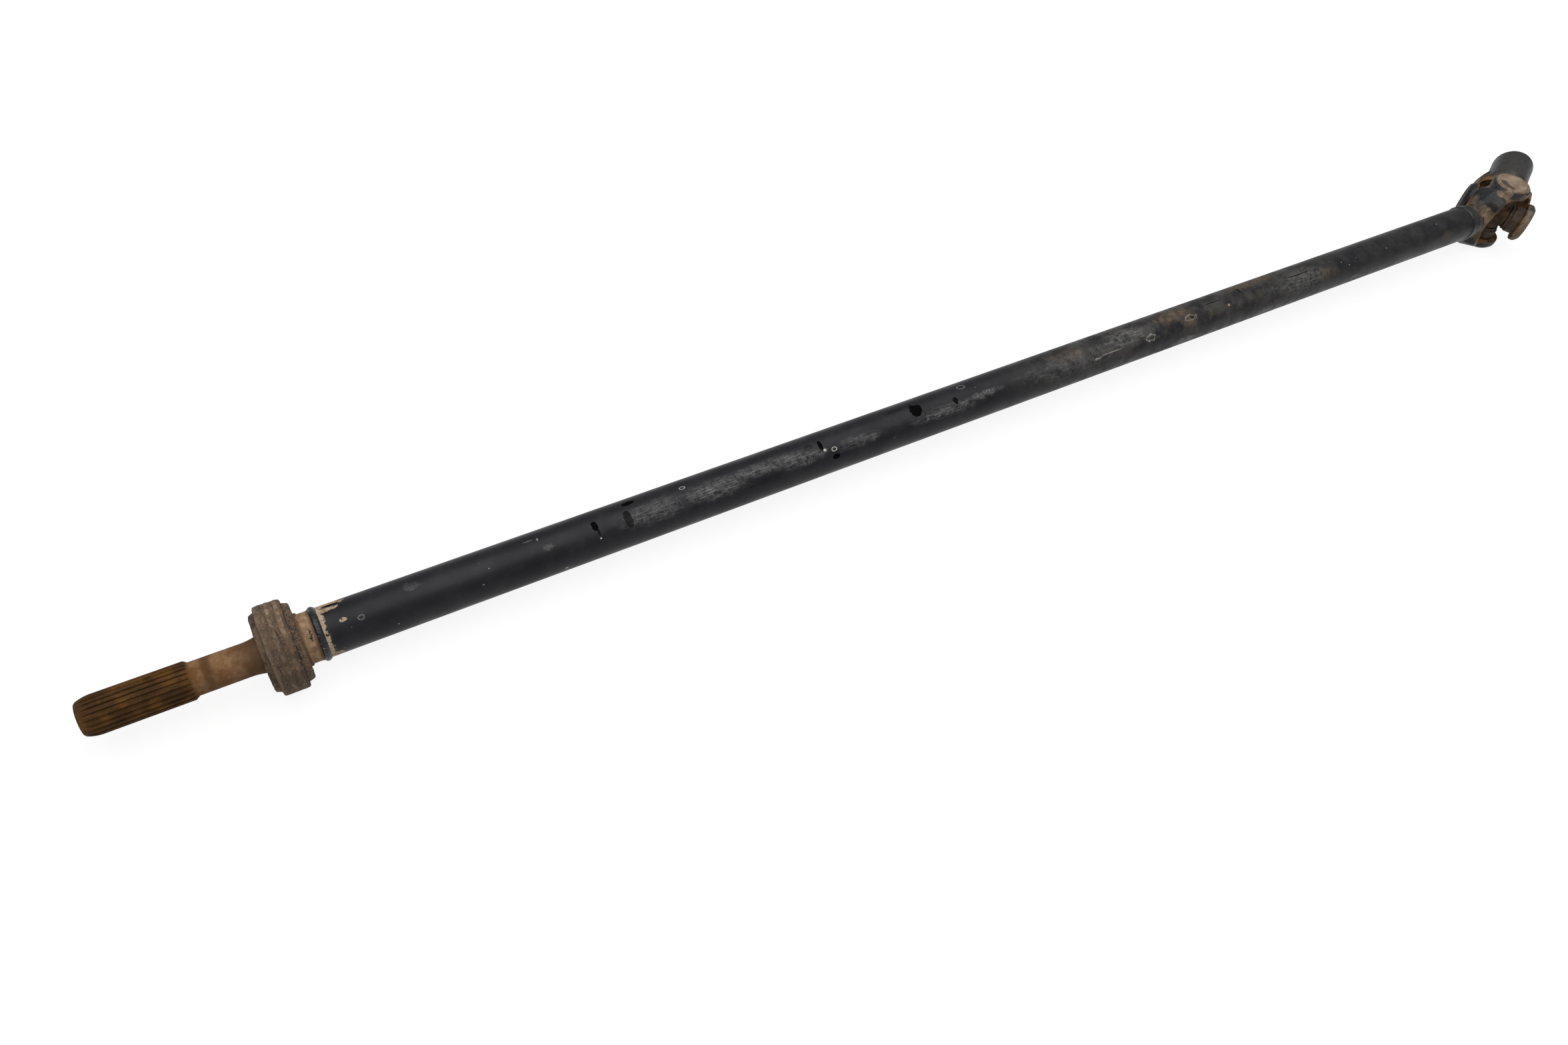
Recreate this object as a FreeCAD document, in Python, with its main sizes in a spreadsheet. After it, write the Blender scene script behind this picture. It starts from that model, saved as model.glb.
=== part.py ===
"""Rear drive shaft: splined stub with support bearing, tube, and a universal joint.

Frame: X runs along the shaft from the splined stub to the universal joint, Z is up
along the tube yoke's cross axis, and the origin is the middle of the support bearing.
Lengths are millimetres. Every size comes from the sheet that fill_sheet makes.
"""
import FreeCAD
import Part
import Sketcher
import math
import os
import re

# Driving dimensions: name, value, meaning
DIMENSIONS = (
    # splined stub
    ("stub_reach", 120.5, "bearing middle to the tip of the splines"),
    ("spline_length", 63.5, "tip to the full end of the splines"),
    ("spline_teeth", 22, "number of splines"),
    ("spline_major_d", 26.4, "over the splines"),
    ("spline_depth", 1.45, "depth of the spaces between splines"),
    ("space_foot", 1.15, "width of a space at its foot"),
    ("space_top", 2.4, "width of a space at the top of the splines"),
    ("spline_lead", 10.0, "length of the lead-in taper at the tip"),
    ("spline_lead_drop", 1.9, "drop of the lead-in taper"),
    ("tip_chamfer", 0.9, "corner break at the tip"),
    ("spline_bevel", 2.7, "bevel behind the splines"),
    ("stem_d", 22.9, "plain stem between splines and bearing"),
    ("stem_flare", 8.6, "length of the flare from stem to journal"),
    ("journal_d", 25.0, "bearing journal"),
    ("journal_lead", 0.3, "journal beyond the slinger"),
    ("seat_gap", 0.01, "clearance of fitted rings, on the radius"),
    ("lip_d", 37.2, "lip of the collar that backs the bearing"),
    ("lip_length", 1.6, "length of that lip"),
    ("lip_slope", 0.8, "slope behind the lip"),
    ("collar_d", 34.8, "collar between bearing and weld"),
    ("collar_length", 5.8, "lip to the start of the weld flare"),
    ("weld_flare", 2.1, "length of the flare up to the weld"),
    ("weld_land_d", 36.2, "diameter beside the weld"),
    # support bearing
    ("bearing_od", 62.0, "outside of the outer ring"),
    ("bearing_wide", 17.0, "width of both rings"),
    ("ball_d", 11.4996, "a ball"),
    ("ball_count", 7, "number of balls"),
    ("race_ratio", 0.52, "raceway radius over ball diameter"),
    ("running_gap", 0.02, "clearance of rolling pieces, on the radius"),
    ("inner_land_drop", 0.6, "pitch circle less the inner ring's shoulders, over the ball"),
    ("outer_land_rise", 0.6174, "outer ring's shoulders less the pitch circle, over the ball"),
    ("ring_corner", 1.2, "corner round of the rings"),
    ("land_corner", 0.4, "corner break of the inner ring's shoulders"),
    ("seal_step", 1.4, "seat of the seals above the outer ring's shoulders"),
    ("seal_thick", 1.0, "thickness of a bearing seal"),
    ("seal_inset", 0.3, "seal face below the ring face"),
    ("seal_lip", 1.1, "height of a bearing seal's lip"),
    ("lip_gap", 0.06, "gap under a seal's lip"),
    ("cage_wide", 8.8, "width of the crown cage"),
    ("cage_drop", 0.41, "pitch circle less the inside of the cage, over the ball"),
    ("cage_rise", 0.43, "outside of the cage less the pitch circle, over the ball"),
    ("cage_gap", 0.6, "cage to the seal"),
    ("pocket_gap", 0.15, "clearance of a ball in its pocket"),
    ("slinger_sheet", 1.5, "sheet thickness of the slingers"),
    ("slinger_hub_step", 1.8, "inner ring's shoulders above the hub of a slinger"),
    ("slinger_bend", 1.3, "outer bend of a slinger"),
    ("front_slinger_step", 0.5, "seat of the seals above the slinger on the stub side"),
    ("front_slinger_wide", 5.1, "width of the slinger on the stub side"),
    ("rear_slinger_wide", 4.4, "width of the slinger on the tube side"),
    ("slinger_gap", 0.9, "gap between a slinger's rim and the outer ring"),
    # tube and welds
    ("tube_od", 35.0, "outside of the tube"),
    ("tube_wall", 2.0, "wall of the tube"),
    ("weld_to_weld", 1197.745, "front weld to rear weld"),
    ("spigot_gap", 0.05, "clearance of the spigots in the tube, on the radius"),
    ("spigot_length", 14.0, "spigot inside the tube"),
    ("root_gap", 1.2, "gap at the root of a weld"),
    ("groove_slope", 0.7, "run of the weld bevels over their rise"),
    ("bead_lap", 0.15, "front bead over the edges of its groove"),
    ("bead_height", 1.3, "front bead above its edges"),
    ("rear_bead_lap", 0.35, "rear bead over the edges of its groove"),
    ("rear_bead_height", 1.0, "rear bead above its edges"),
    # universal joint
    ("weld_to_joint", 60.0, "rear weld to the middle of the joint"),
    ("fold_angle", 27.5, "swing of the coupler about the tube yoke's cross axis, degrees"),
    ("tilt_angle", 4.0, "rise of the coupler about its own cross axis, degrees"),
    ("tube_ear_face", 36.75, "joint middle to the face of an ear of the tube yoke"),
    ("coupler_ear_face", 35.3, "joint middle to the face of an ear of the coupler"),
    ("rim_height", 1.6, "rim around a cup above its ear"),
    ("rim_radius", 17.1, "outside of that rim"),
    ("rim_corner", 0.5, "corner break of that rim"),
    ("ear_inner", 26.5, "joint middle to the inside of an ear"),
    ("ear_radius", 19.8, "round of an ear"),
    ("ear_chamfer", 2.0, "outer chamfer of an ear"),
    ("cup_radius", 14.0, "outside of a bearing cup"),
    ("cup_end", 33.4, "joint middle to a cup's closed end"),
    ("cup_bottom", 3.0, "thickness of a cup's closed end"),
    ("cup_mouth", 17.2, "joint middle to a cup's open end"),
    ("cup_corner", 0.8, "corner break of a cup"),
    ("cup_dish", 0.7, "depth of the dish in a cup's closed end"),
    ("cup_dish_radius", 9.6, "radius of that dish"),
    ("trunnion_radius", 8.0, "trunnion of the cross"),
    ("trunnion_end_gap", 0.25, "trunnion end to the cup's bottom"),
    ("needle_d", 2.4, "needle roller"),
    ("needle_count", 23, "needles in each cup"),
    ("needle_length", 11.2, "needle roller length"),
    ("needle_end_gap", 0.4, "needle end to the cup's bottom"),
    ("shoulder_radius", 11.5, "shoulder of the cross under a seal"),
    ("shoulder_face", 14.1, "joint middle to that shoulder"),
    ("joint_seal_radius", 12.8, "outside of a cup seal"),
    ("joint_seal_gap", 0.3, "cup seal to the shoulder of the cross"),
    ("joint_seal_plug", 1.3, "part of a cup seal inside the cup"),
    ("clip_groove_radius", 14.65, "snap ring groove"),
    ("clip_inner_radius", 12.3, "inside of a snap ring"),
    ("clip_thick", 1.4, "thickness of a snap ring"),
    ("clip_gap", 0.03, "clearance around a snap ring"),
    ("clip_opening", 34.0, "opening of a snap ring, degrees"),
    # yoke forgings
    ("throat_depth", 38.5, "joint middle to the bottom of the throat"),
    ("throat_edge", 24.5, "radius of the throat at the inside of the ears"),
    ("forging_draft", 21.0, "draft of the arms from their parting line, degrees"),
    ("tube_arm_foot", 48.5, "joint middle to the foot of the tube yoke's arms"),
    ("tube_arm_foot_half", 16.0, "half height of those arms at their foot"),
    ("tube_arm_swell", 42.0, "radius of those arms' outer swell"),
    ("tube_arm_crest_half", 35.0, "half height of those arms at their crest"),
    ("tube_arm_valley_half", 32.8, "half height of those arms behind an ear"),
    ("coupler_arm_foot", 72.0, "joint middle to the foot of the coupler's arms"),
    ("coupler_arm_foot_half", 19.6, "half height of those arms at their foot"),
    ("coupler_arm_swell", 120.0, "radius of those arms' outer swell"),
    ("coupler_arm_crest_half", 32.2, "half height of those arms at their crest"),
    ("coupler_arm_valley_half", 31.8, "half height of those arms behind an ear"),
    ("arm_crest", 27.5, "joint middle to the crest behind an ear"),
    ("arm_valley", 21.5, "joint middle to the dip behind an ear"),
    ("rib_half", 5.0, "half width of the rib at the foot of an arm"),
    ("rib_end", 43.0, "joint middle to where the rib starts to widen"),
    ("rib_fan", 10.0, "radius of the rib's flare into the arm"),
    ("arm_base", 35.0, "joint middle to the wide base of the arms"),
    ("arm_base_half", 16.6, "half width of that base"),
    ("waist", 15.2, "half width of the arms at their waist"),
    ("waist_place", 23.0, "joint middle to the waist"),
    ("neck_d", 35.4, "tube yoke's neck beside the weld"),
    ("neck_land", 9.5, "weld to the start of the neck's cove"),
    ("cove_d", 30.6, "bottom of the cove in the neck"),
    ("cove_start", 3.6, "length of the cove's fall"),
    ("cove_length", 9.0, "start of the cove to the end of its bottom"),
    ("web_d", 33.4, "web between the feet of the arms"),
    ("web_face", 35.5, "joint middle to the back of the web"),
    # splined coupler
    ("hub_d", 41.4, "coupler hub"),
    ("hub_reach", 97.0, "joint middle to the end of the hub"),
    ("hub_round", 2.2, "round of the hub's end"),
    ("hub_waist", 46.0, "joint middle to the waist of the hub"),
    ("hub_land", 8.0, "waist of the hub to its full diameter"),
    ("hub_waist_d", 36.0, "coupler hub at the foot of the arms"),
    ("spline_tip_gap", 0.35, "coupler's spline tips to the foot of the stub's spaces"),
    ("spline_root_gap", 0.25, "foot of the coupler's spaces to the stub's splines"),
    ("spline_play", 0.1, "play of a spline in its space"),
    ("mouth_d", 30.0, "seal seat in the hub's mouth"),
    ("mouth_depth", 6.0, "depth of that seat"),
    ("mouth_chamfer", 1.0, "corner break of the mouth"),
)

# Values worked out from the driving dimensions
DERIVED = {
    "tube_id": "(tube_od - 2 * tube_wall)",
    "spigot_d": "(tube_id - 2 * spigot_gap)",
    "collar_face": "(bearing_wide / 2 + rear_slinger_wide)",
    "collar_end": "(collar_face + lip_length + collar_length)",
    "front_weld": "(collar_end + weld_flare + groove_slope * (weld_land_d - spigot_d) / 2)",
    "front_bead_start": "(collar_end + weld_flare)",
    "front_bead_edge": "(front_weld + root_gap + groove_slope * tube_wall)",
    "rear_weld": "(front_weld + weld_to_weld)",
    "rear_bead_edge": "(rear_weld - root_gap - groove_slope * tube_wall)",
    "neck_bevel": "(groove_slope * (neck_d - spigot_d) / 2)",
    "joint_middle": "(rear_weld + weld_to_joint)",
    "journal_start": "(bearing_wide / 2 + front_slinger_wide + journal_lead)",
    "spline_root": "(spline_major_d / 2 - spline_depth)",
    "ball_pitch_d": "((journal_d + bearing_od) / 2)",
    "inner_land_d": "(ball_pitch_d - inner_land_drop * ball_d)",
    "outer_land_d": "(ball_pitch_d + outer_land_rise * ball_d)",
    "seal_seat_d": "(outer_land_d + 2 * seal_step)",
    "cage_inner_d": "(ball_pitch_d - cage_drop * ball_d)",
    "cage_outer_d": "(ball_pitch_d + cage_rise * ball_d)",
    "slinger_hub_d": "(inner_land_d - 2 * slinger_hub_step)",
    "front_slinger_d": "(seal_seat_d - 2 * front_slinger_step)",
    "rear_slinger_d": "seal_seat_d",
    "race_radius": "(ball_d * race_ratio)",
    "inner_race_bottom": "(ball_pitch_d / 2 - ball_d / 2 - running_gap)",
    "outer_race_bottom": "(ball_pitch_d / 2 + ball_d / 2 + running_gap)",
    "inner_race_half": "(sqrt(race_radius ^ 2 - (inner_race_bottom + race_radius - inner_land_d / 2) ^ 2))",
    "outer_race_half": "(sqrt(race_radius ^ 2 - (outer_race_bottom - race_radius - outer_land_d / 2) ^ 2))",
    "seal_outside": "(bearing_wide / 2 - seal_inset)",
    "seal_inside": "(seal_outside - seal_thick)",
    "cage_back": "(seal_inside - cage_gap)",
    "pocket_radius": "(ball_d / 2 + pocket_gap)",
    "cup_floor": "(cup_end - cup_bottom)",
    "cup_bore": "(trunnion_radius + needle_d + 2 * running_gap)",
    "needle_circle": "(trunnion_radius + running_gap + needle_d / 2)",
    "needle_start": "(cup_floor - needle_end_gap - needle_length)",
    "trunnion_end": "(cup_floor - trunnion_end_gap)",
    "clip_start": "(cup_end + clip_gap)",
    "clip_radius": "(clip_groove_radius - clip_gap)",
    "throat_rise": "(throat_depth - throat_edge)",
    "throat_radius": "((ear_inner ^ 2 + throat_rise ^ 2) / (2 * throat_rise))",
    "coupler_bore": "(spline_root + spline_tip_gap)",
    "coupler_root": "(spline_major_d / 2 + spline_root_gap)",
}

SHEET_NAME = "Sizes"
ALIASES = [name for name, value, meaning in DIMENSIONS]
WORD = re.compile(r"\b[a-z][a-z_0-9]*\b")

# Turns, as axis and angle in degrees
SWING = ("0; 0; 1", "fold_angle")
RISE = ("0; 1; 0", "-tilt_angle")
TO_NEAR = ("1; 0; 0", "90")
TO_FAR = ("1; 0; 0", "-90")
TO_BOTTOM = ("1; 0; 0", "180")
ABOUT = ("0; 0; 1", "180")

# Ends of the cross: name and turns that carry +Z there
ENDS = (
    ("top", ()),
    ("bottom", (TO_BOTTOM,)),
    ("near", (SWING, RISE, TO_NEAR)),
    ("far", (SWING, RISE, TO_FAR)),
)


def fill_sheet(document):
    """Put the driving dimensions into a spreadsheet, one alias a row."""
    table = document.addObject("Spreadsheet::Sheet", SHEET_NAME)
    for row, (name, value, meaning) in enumerate(DIMENSIONS, start=1):
        table.set("A%d" % row, meaning)
        table.set("B%d" % row, str(value))
        table.setAlias("B%d" % row, name)
    document.recompute()
    return table


def expand(text):
    """Write an expression of named sizes in the sheet's own terms."""
    previous = None
    while previous != text:
        previous = text
        text = WORD.sub(lambda found: DERIVED.get(found.group(0), found.group(0)), text)
    return WORD.sub(
        lambda found: SHEET_NAME + "." + found.group(0) if found.group(0) in ALIASES else found.group(0),
        text,
    )


def size(text):
    """Value of an expression of named sizes."""
    return float(sheet.evalExpression(expand(text)))


def bind(item, name, text):
    """Tie a property to the sheet."""
    item.setExpression(name, expand(text))


def new_body(label):
    """A body that carries one piece, named after it."""
    body = doc.addObject("PartDesign::Body", label)
    body.Label = label
    pieces.append(body)
    return body


def origin_item(body, role):
    """One of the body's own planes or axes."""
    return [item for item in body.Origin.OriginFeatures if item.Role == role][0]


def new_sketch(body, name, role):
    """Empty sketch in one of the body's own planes."""
    sketch = body.newObject("Sketcher::SketchObject", name)
    sketch.AttachmentSupport = [(origin_item(body, role), "")]
    sketch.MapMode = "FlatFace"
    return sketch


def draw(body, name, role, *outlines):
    """Sketch with closed outlines in one of the body's own planes.

    Each corner is (x, y) as expressions. A third and fourth value make the edge that
    arrives at the corner an arc: its radius, and the side of the way, +1 for left and
    -1 for right, to which it bulges.
    """
    sketch = new_sketch(body, name, role)
    for corners in outlines:
        add_outline(sketch, corners)
    return sketch


def add_outline(sketch, corners):
    """Add one closed outline to a sketch, with each corner bound to the sheet."""
    first = len(sketch.Geometry)
    count = len(corners)
    points = [FreeCAD.Vector(size(corner[0]), size(corner[1]), 0) for corner in corners]
    for index in range(count):
        goal = (index + 1) % count
        edge = Part.LineSegment(points[index], points[goal])
        if len(corners[goal]) > 2:
            edge = arc_between(points[index], points[goal], size(corners[goal][2]), corners[goal][3])
        sketch.addGeometry(edge, False)
    for index in range(count):
        goal = (index + 1) % count
        start, end = edge_ends(sketch, first + index, points[index])
        following, unused = edge_ends(sketch, first + goal, points[goal])
        join = Sketcher.Constraint("Coincident", first + index, end, first + goal, following)
        sketch.addConstraint(join)
        pin_point(sketch, first + index, start, corners[index][0], corners[index][1], points[index])
        if len(corners[goal]) > 2:
            bend = Sketcher.Constraint("Radius", first + index, size(corners[goal][2]))
            bind(sketch, "Constraints[%d]" % sketch.addConstraint(bend), corners[goal][2])


def edge_ends(sketch, edge, start):
    """Numbers of an edge's points: the one at start, and the other."""
    geometry = sketch.Geometry[edge]
    if geometry.StartPoint.distanceToPoint(start) < geometry.EndPoint.distanceToPoint(start):
        return 1, 2
    return 2, 1


def pin_point(sketch, edge, end, x, y, point):
    """Bind the place of one point of an edge to the sheet, or put it on an axis."""
    for kind, text, value, axis in (("DistanceX", x, point.x, -2), ("DistanceY", y, point.y, -1)):
        if text == "0":
            sketch.addConstraint(Sketcher.Constraint("PointOnObject", edge, end, axis))
        else:
            pin = Sketcher.Constraint(kind, -1, 1, edge, end, value)
            bind(sketch, "Constraints[%d]" % sketch.addConstraint(pin), text)


def arc_between(start, end, radius, side):
    """Anticlockwise arc between two points that bulges left (+1) or right (-1) of the way."""
    chord = end - start
    left = FreeCAD.Vector(-chord.y, chord.x, 0).normalize()
    half = chord.Length / 2
    rise = radius - math.sqrt(max(radius * radius - half * half, 0.0))
    crown = (start + end) * 0.5 + left * (side * rise)
    if side > 0:
        return Part.Arc(end, crown, start)
    return Part.Arc(start, crown, end)


def draw_half_disc(body, name, role, radius, rise):
    """Sketch with a half disc whose middle is raised from the origin."""
    sketch = new_sketch(body, name, role)
    bind(sketch, "AttachmentOffset.Base.y", rise)
    left = FreeCAD.Vector(-size(radius), 0, 0)
    right = FreeCAD.Vector(size(radius), 0, 0)
    crown = FreeCAD.Vector(0, size(radius), 0)
    arc = sketch.addGeometry(Part.Arc(right, crown, left), False)
    line = sketch.addGeometry(Part.LineSegment(left, right), False)
    sketch.addConstraint(Sketcher.Constraint("Coincident", arc, 3, -1, 1))
    sketch.addConstraint(Sketcher.Constraint("Coincident", arc, 2, line, 1))
    sketch.addConstraint(Sketcher.Constraint("Coincident", arc, 1, line, 2))
    sketch.addConstraint(Sketcher.Constraint("Horizontal", line))
    sketch.addConstraint(Sketcher.Constraint("PointOnObject", arc, 1, -1))
    bend = Sketcher.Constraint("Radius", arc, size(radius))
    bind(sketch, "Constraints[%d]" % sketch.addConstraint(bend), radius)
    return sketch


def revolve(body, name, sketch, axis="H_Axis"):
    """Turn an outline about one of its sketch's axes."""
    feature = body.newObject("PartDesign::Revolution", name)
    feature.Profile = sketch
    feature.ReferenceAxis = (sketch, [axis])
    feature.Angle = 360
    return feature


def groove(body, name, sketch, axis="H_Axis"):
    """Cut an outline turned about one of its sketch's axes."""
    feature = body.newObject("PartDesign::Groove", name)
    feature.Profile = sketch
    feature.ReferenceAxis = (sketch, [axis])
    feature.Angle = 360
    return feature


def pocket(body, name, sketch, length):
    """Cut an outline evenly to both sides of its plane."""
    feature = body.newObject("PartDesign::Pocket", name)
    feature.Profile = sketch
    feature.SideType = "Symmetric"
    bind(feature, "Length", length)
    return feature


def repeat(body, name, feature, axis_role, count):
    """Repeat a feature evenly about one of the body's own axes."""
    pattern = body.newObject("PartDesign::PolarPattern", name)
    pattern.Originals = [feature]
    pattern.Axis = (origin_item(body, axis_role), [""])
    pattern.Angle = 360
    bind(pattern, "Occurrences", count)
    body.Tip = pattern
    return pattern


def place(piece, along="0", turns=()):
    """Put a piece at a distance along X and turn it by each turn in order."""
    text = "placement(vector(%s; 0; 0); rotation(vector(0; 0; 1); 0))" % along
    for axis, angle in turns:
        text += " * placement(vector(0; 0; 0); rotation(vector(%s); %s))" % (axis, angle)
    bind(piece, "Placement", text)


def space_width(radius):
    """Width of a spline space at a radius."""
    share = "(%s - spline_root) / spline_depth" % radius
    return "(space_foot + (space_top - space_foot) * %s)" % share


def tooth_width(radius):
    """Width of a spline at a radius."""
    return "(2 * pi * %s / spline_teeth - %s)" % (radius, space_width(radius))


def make_stub_shaft():
    """Forged and turned stub: splines, stem, journal, collar and weld spigot."""
    body = new_body("stub_shaft")
    lead = "((spline_lead - tip_chamfer) ^ 2 + spline_lead_drop ^ 2) / (2 * spline_lead_drop)"
    flare = "(stem_flare ^ 2 + ((journal_d - stem_d) / 2) ^ 2) / (journal_d - stem_d)"
    rise = "(weld_flare ^ 2 + ((weld_land_d - collar_d) / 2) ^ 2) / (weld_land_d - collar_d)"
    revolve(body, "StubTurned", draw(body, "StubProfile", "XZ_Plane", (
        ("-stub_reach", "0"),
        ("-stub_reach", "spline_major_d / 2 - spline_lead_drop - tip_chamfer"),
        ("-stub_reach + tip_chamfer", "spline_major_d / 2 - spline_lead_drop"),
        ("-stub_reach + spline_lead", "spline_major_d / 2", lead, 1),
        ("-stub_reach + spline_length", "spline_major_d / 2"),
        ("-stub_reach + spline_length + spline_bevel", "stem_d / 2"),
        ("-journal_start - stem_flare", "stem_d / 2"),
        ("-journal_start", "journal_d / 2", flare, -1),
        ("collar_face", "journal_d / 2"),
        ("collar_face", "lip_d / 2"),
        ("collar_face + lip_length", "lip_d / 2"),
        ("collar_face + lip_length + lip_slope", "collar_d / 2"),
        ("collar_end", "collar_d / 2"),
        ("front_bead_start", "weld_land_d / 2", rise, -1),
        ("front_weld", "spigot_d / 2"),
        ("front_weld + spigot_length", "spigot_d / 2"),
        ("front_weld + spigot_length", "0"),
    )))
    over = "(spline_major_d / 2 + spline_depth / 4)"
    space = draw(body, "SplineSpace", "YZ_Plane", (
        ("-%s / 2" % space_width("spline_root"), "spline_root"),
        ("%s / 2" % space_width("spline_root"), "spline_root"),
        ("%s / 2" % space_width(over), over),
        ("-%s / 2" % space_width(over), over),
    ))
    bind(space, "AttachmentOffset.Base.z", "-stub_reach + (spline_length + spline_bevel) / 2")
    cut = pocket(body, "SplineCut", space, "spline_length + spline_bevel")
    repeat(body, "Splines", cut, "X_Axis", "spline_teeth")
    place(body)


def make_inner_ring():
    """Inner ring of the support bearing, on the journal."""
    body = new_body("bearing_inner_ring")
    half = "bearing_wide / 2"
    bore = "journal_d / 2 + seat_gap"
    revolve(body, "InnerRingTurned", draw(body, "InnerRingProfile", "XZ_Plane", (
        ("-%s" % half, "%s + ring_corner" % bore),
        ("-%s + ring_corner" % half, bore),
        ("%s - ring_corner" % half, bore),
        (half, "%s + ring_corner" % bore),
        (half, "inner_land_d / 2 - land_corner"),
        ("%s - land_corner" % half, "inner_land_d / 2"),
        ("inner_race_half", "inner_land_d / 2"),
        ("-inner_race_half", "inner_land_d / 2", "race_radius", 1),
        ("-%s + land_corner" % half, "inner_land_d / 2"),
        ("-%s" % half, "inner_land_d / 2 - land_corner"),
    )))
    place(body)


def make_outer_ring():
    """Outer ring of the support bearing, which the vehicle's housing holds."""
    body = new_body("bearing_outer_ring")
    half = "bearing_wide / 2"
    revolve(body, "OuterRingTurned", draw(body, "OuterRingProfile", "XZ_Plane", (
        ("-%s" % half, "seal_seat_d / 2"),
        ("-seal_inside", "seal_seat_d / 2"),
        ("-seal_inside", "outer_land_d / 2"),
        ("-outer_race_half", "outer_land_d / 2"),
        ("outer_race_half", "outer_land_d / 2", "race_radius", 1),
        ("seal_inside", "outer_land_d / 2"),
        ("seal_inside", "seal_seat_d / 2"),
        (half, "seal_seat_d / 2"),
        (half, "bearing_od / 2 - ring_corner"),
        ("%s - ring_corner" % half, "bearing_od / 2", "ring_corner", -1),
        ("-%s + ring_corner" % half, "bearing_od / 2"),
        ("-%s" % half, "bearing_od / 2 - ring_corner", "ring_corner", -1),
    )))
    place(body)


def make_bearing_seal(label, sign):
    """Rubber seal in the outer ring, with its lip over the inner ring."""
    body = new_body(label)
    lip = "inner_land_d / 2 + lip_gap"
    revolve(body, "SealMoulded", draw(body, "SealProfile", "XZ_Plane", (
        ("%s * seal_inside" % sign, "seal_seat_d / 2 - seat_gap"),
        ("%s * seal_inside" % sign, "%s + seal_lip" % lip),
        ("%s * (seal_inside - seal_thick / 5)" % sign, "%s + seal_lip * 0.8" % lip),
        ("%s * (seal_inside - seal_thick / 5)" % sign, lip),
        ("%s * (seal_inside + seal_thick / 2)" % sign, lip),
        ("%s * (seal_inside + seal_thick * 0.7)" % sign, "%s + seal_lip" % lip),
        ("%s * seal_outside" % sign, "%s + seal_lip * 1.4" % lip),
        ("%s * seal_outside" % sign, "seal_seat_d / 2 - seat_gap"),
    )))
    place(body)


def make_slinger(label, sign, wide, outside):
    """Pressed dust slinger on the journal, with its rim turned towards the seal."""
    body = new_body(label)
    face = "%s * (bearing_wide / 2" % sign
    side = int(sign)
    bore = "journal_d / 2 + seat_gap"
    revolve(body, "SlingerPressed", draw(body, "SlingerProfile", "XZ_Plane", (
        (face + ")", bore),
        (face + ")", "slinger_hub_d / 2"),
        (face + " + %s - slinger_sheet)" % wide, "slinger_hub_d / 2"),
        (face + " + %s - slinger_sheet)" % wide, "%s / 2 - slinger_sheet" % outside),
        (face + " + slinger_gap)", "%s / 2 - slinger_sheet" % outside),
        (face + " + slinger_gap)", "%s / 2" % outside),
        (face + " + %s - slinger_bend)" % wide, "%s / 2" % outside),
        (face + " + %s)" % wide, "%s / 2 - slinger_bend" % outside, "slinger_bend", side),
        (face + " + %s)" % wide, bore),
    )))
    place(body)


def make_balls():
    """Balls of the support bearing, one solid each."""
    balls = []
    for index in range(int(size("ball_count"))):
        ball = doc.addObject("Part::Sphere", "Ball%d" % (index + 1))
        angle = "(%d + 0.5) * 360 / ball_count" % index
        bind(ball, "Radius", "ball_d / 2")
        bind(ball, "Placement.Base.y", "ball_pitch_d / 2 * cos(%s)" % angle)
        bind(ball, "Placement.Base.z", "ball_pitch_d / 2 * sin(%s)" % angle)
        balls.append(ball)
    gather("bearing_balls", balls)


def gather(label, members):
    """Group like solids into one piece."""
    group = doc.addObject("Part::Compound", label)
    group.Label = label
    group.Links = members
    pieces.append(group)
    return group


def make_cage():
    """Moulded crown cage, snapped over the balls from the tube side."""
    body = new_body("bearing_cage")
    revolve(body, "CageRing", draw(body, "CageProfile", "XZ_Plane", (
        ("cage_back - cage_wide", "cage_inner_d / 2"),
        ("cage_back - cage_wide", "cage_outer_d / 2"),
        ("cage_back", "cage_outer_d / 2"),
        ("cage_back", "cage_inner_d / 2"),
    )))
    disc = draw_half_disc(body, "PocketProfile", "XZ_Plane", "pocket_radius", "ball_pitch_d / 2")
    cut = groove(body, "BallPocket", disc)
    repeat(body, "BallPockets", cut, "X_Axis", "ball_count")
    place(body, turns=(("1; 0; 0", "0.5 * 360 / ball_count - 90"),))


def make_tube():
    """Tube, bevelled for the welds at both ends."""
    body = new_body("tube")
    revolve(body, "TubeDrawn", draw(body, "TubeProfile", "XZ_Plane", (
        ("front_weld + root_gap", "tube_id / 2"),
        ("front_bead_edge", "tube_od / 2"),
        ("rear_bead_edge", "tube_od / 2"),
        ("rear_weld - root_gap", "tube_id / 2"),
    )))
    place(body)


def bead_arc(start, end, drop, height):
    """Radius of the crown of a weld bead over a sloping chord."""
    half = "(((%s - %s) / 2) ^ 2 + (%s / 2) ^ 2)" % (end, start, drop)
    return "(%s + %s ^ 2) / (2 * %s)" % (half, height, height)


def make_front_weld():
    """Weld bead between stub and tube, which fills their groove."""
    body = new_body("front_weld_bead")
    end = "(front_bead_edge + bead_lap)"
    crown = bead_arc("front_bead_start", end, "(weld_land_d - tube_od) / 2", "bead_height")
    revolve(body, "FrontBead", draw(body, "FrontBeadProfile", "XZ_Plane", (
        ("front_weld", "spigot_d / 2"),
        ("front_bead_start", "weld_land_d / 2"),
        (end, "tube_od / 2", crown, 1),
        ("front_bead_edge", "tube_od / 2"),
        ("front_weld + root_gap", "tube_id / 2"),
        ("front_weld + root_gap", "spigot_d / 2"),
    )))
    place(body)


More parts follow.
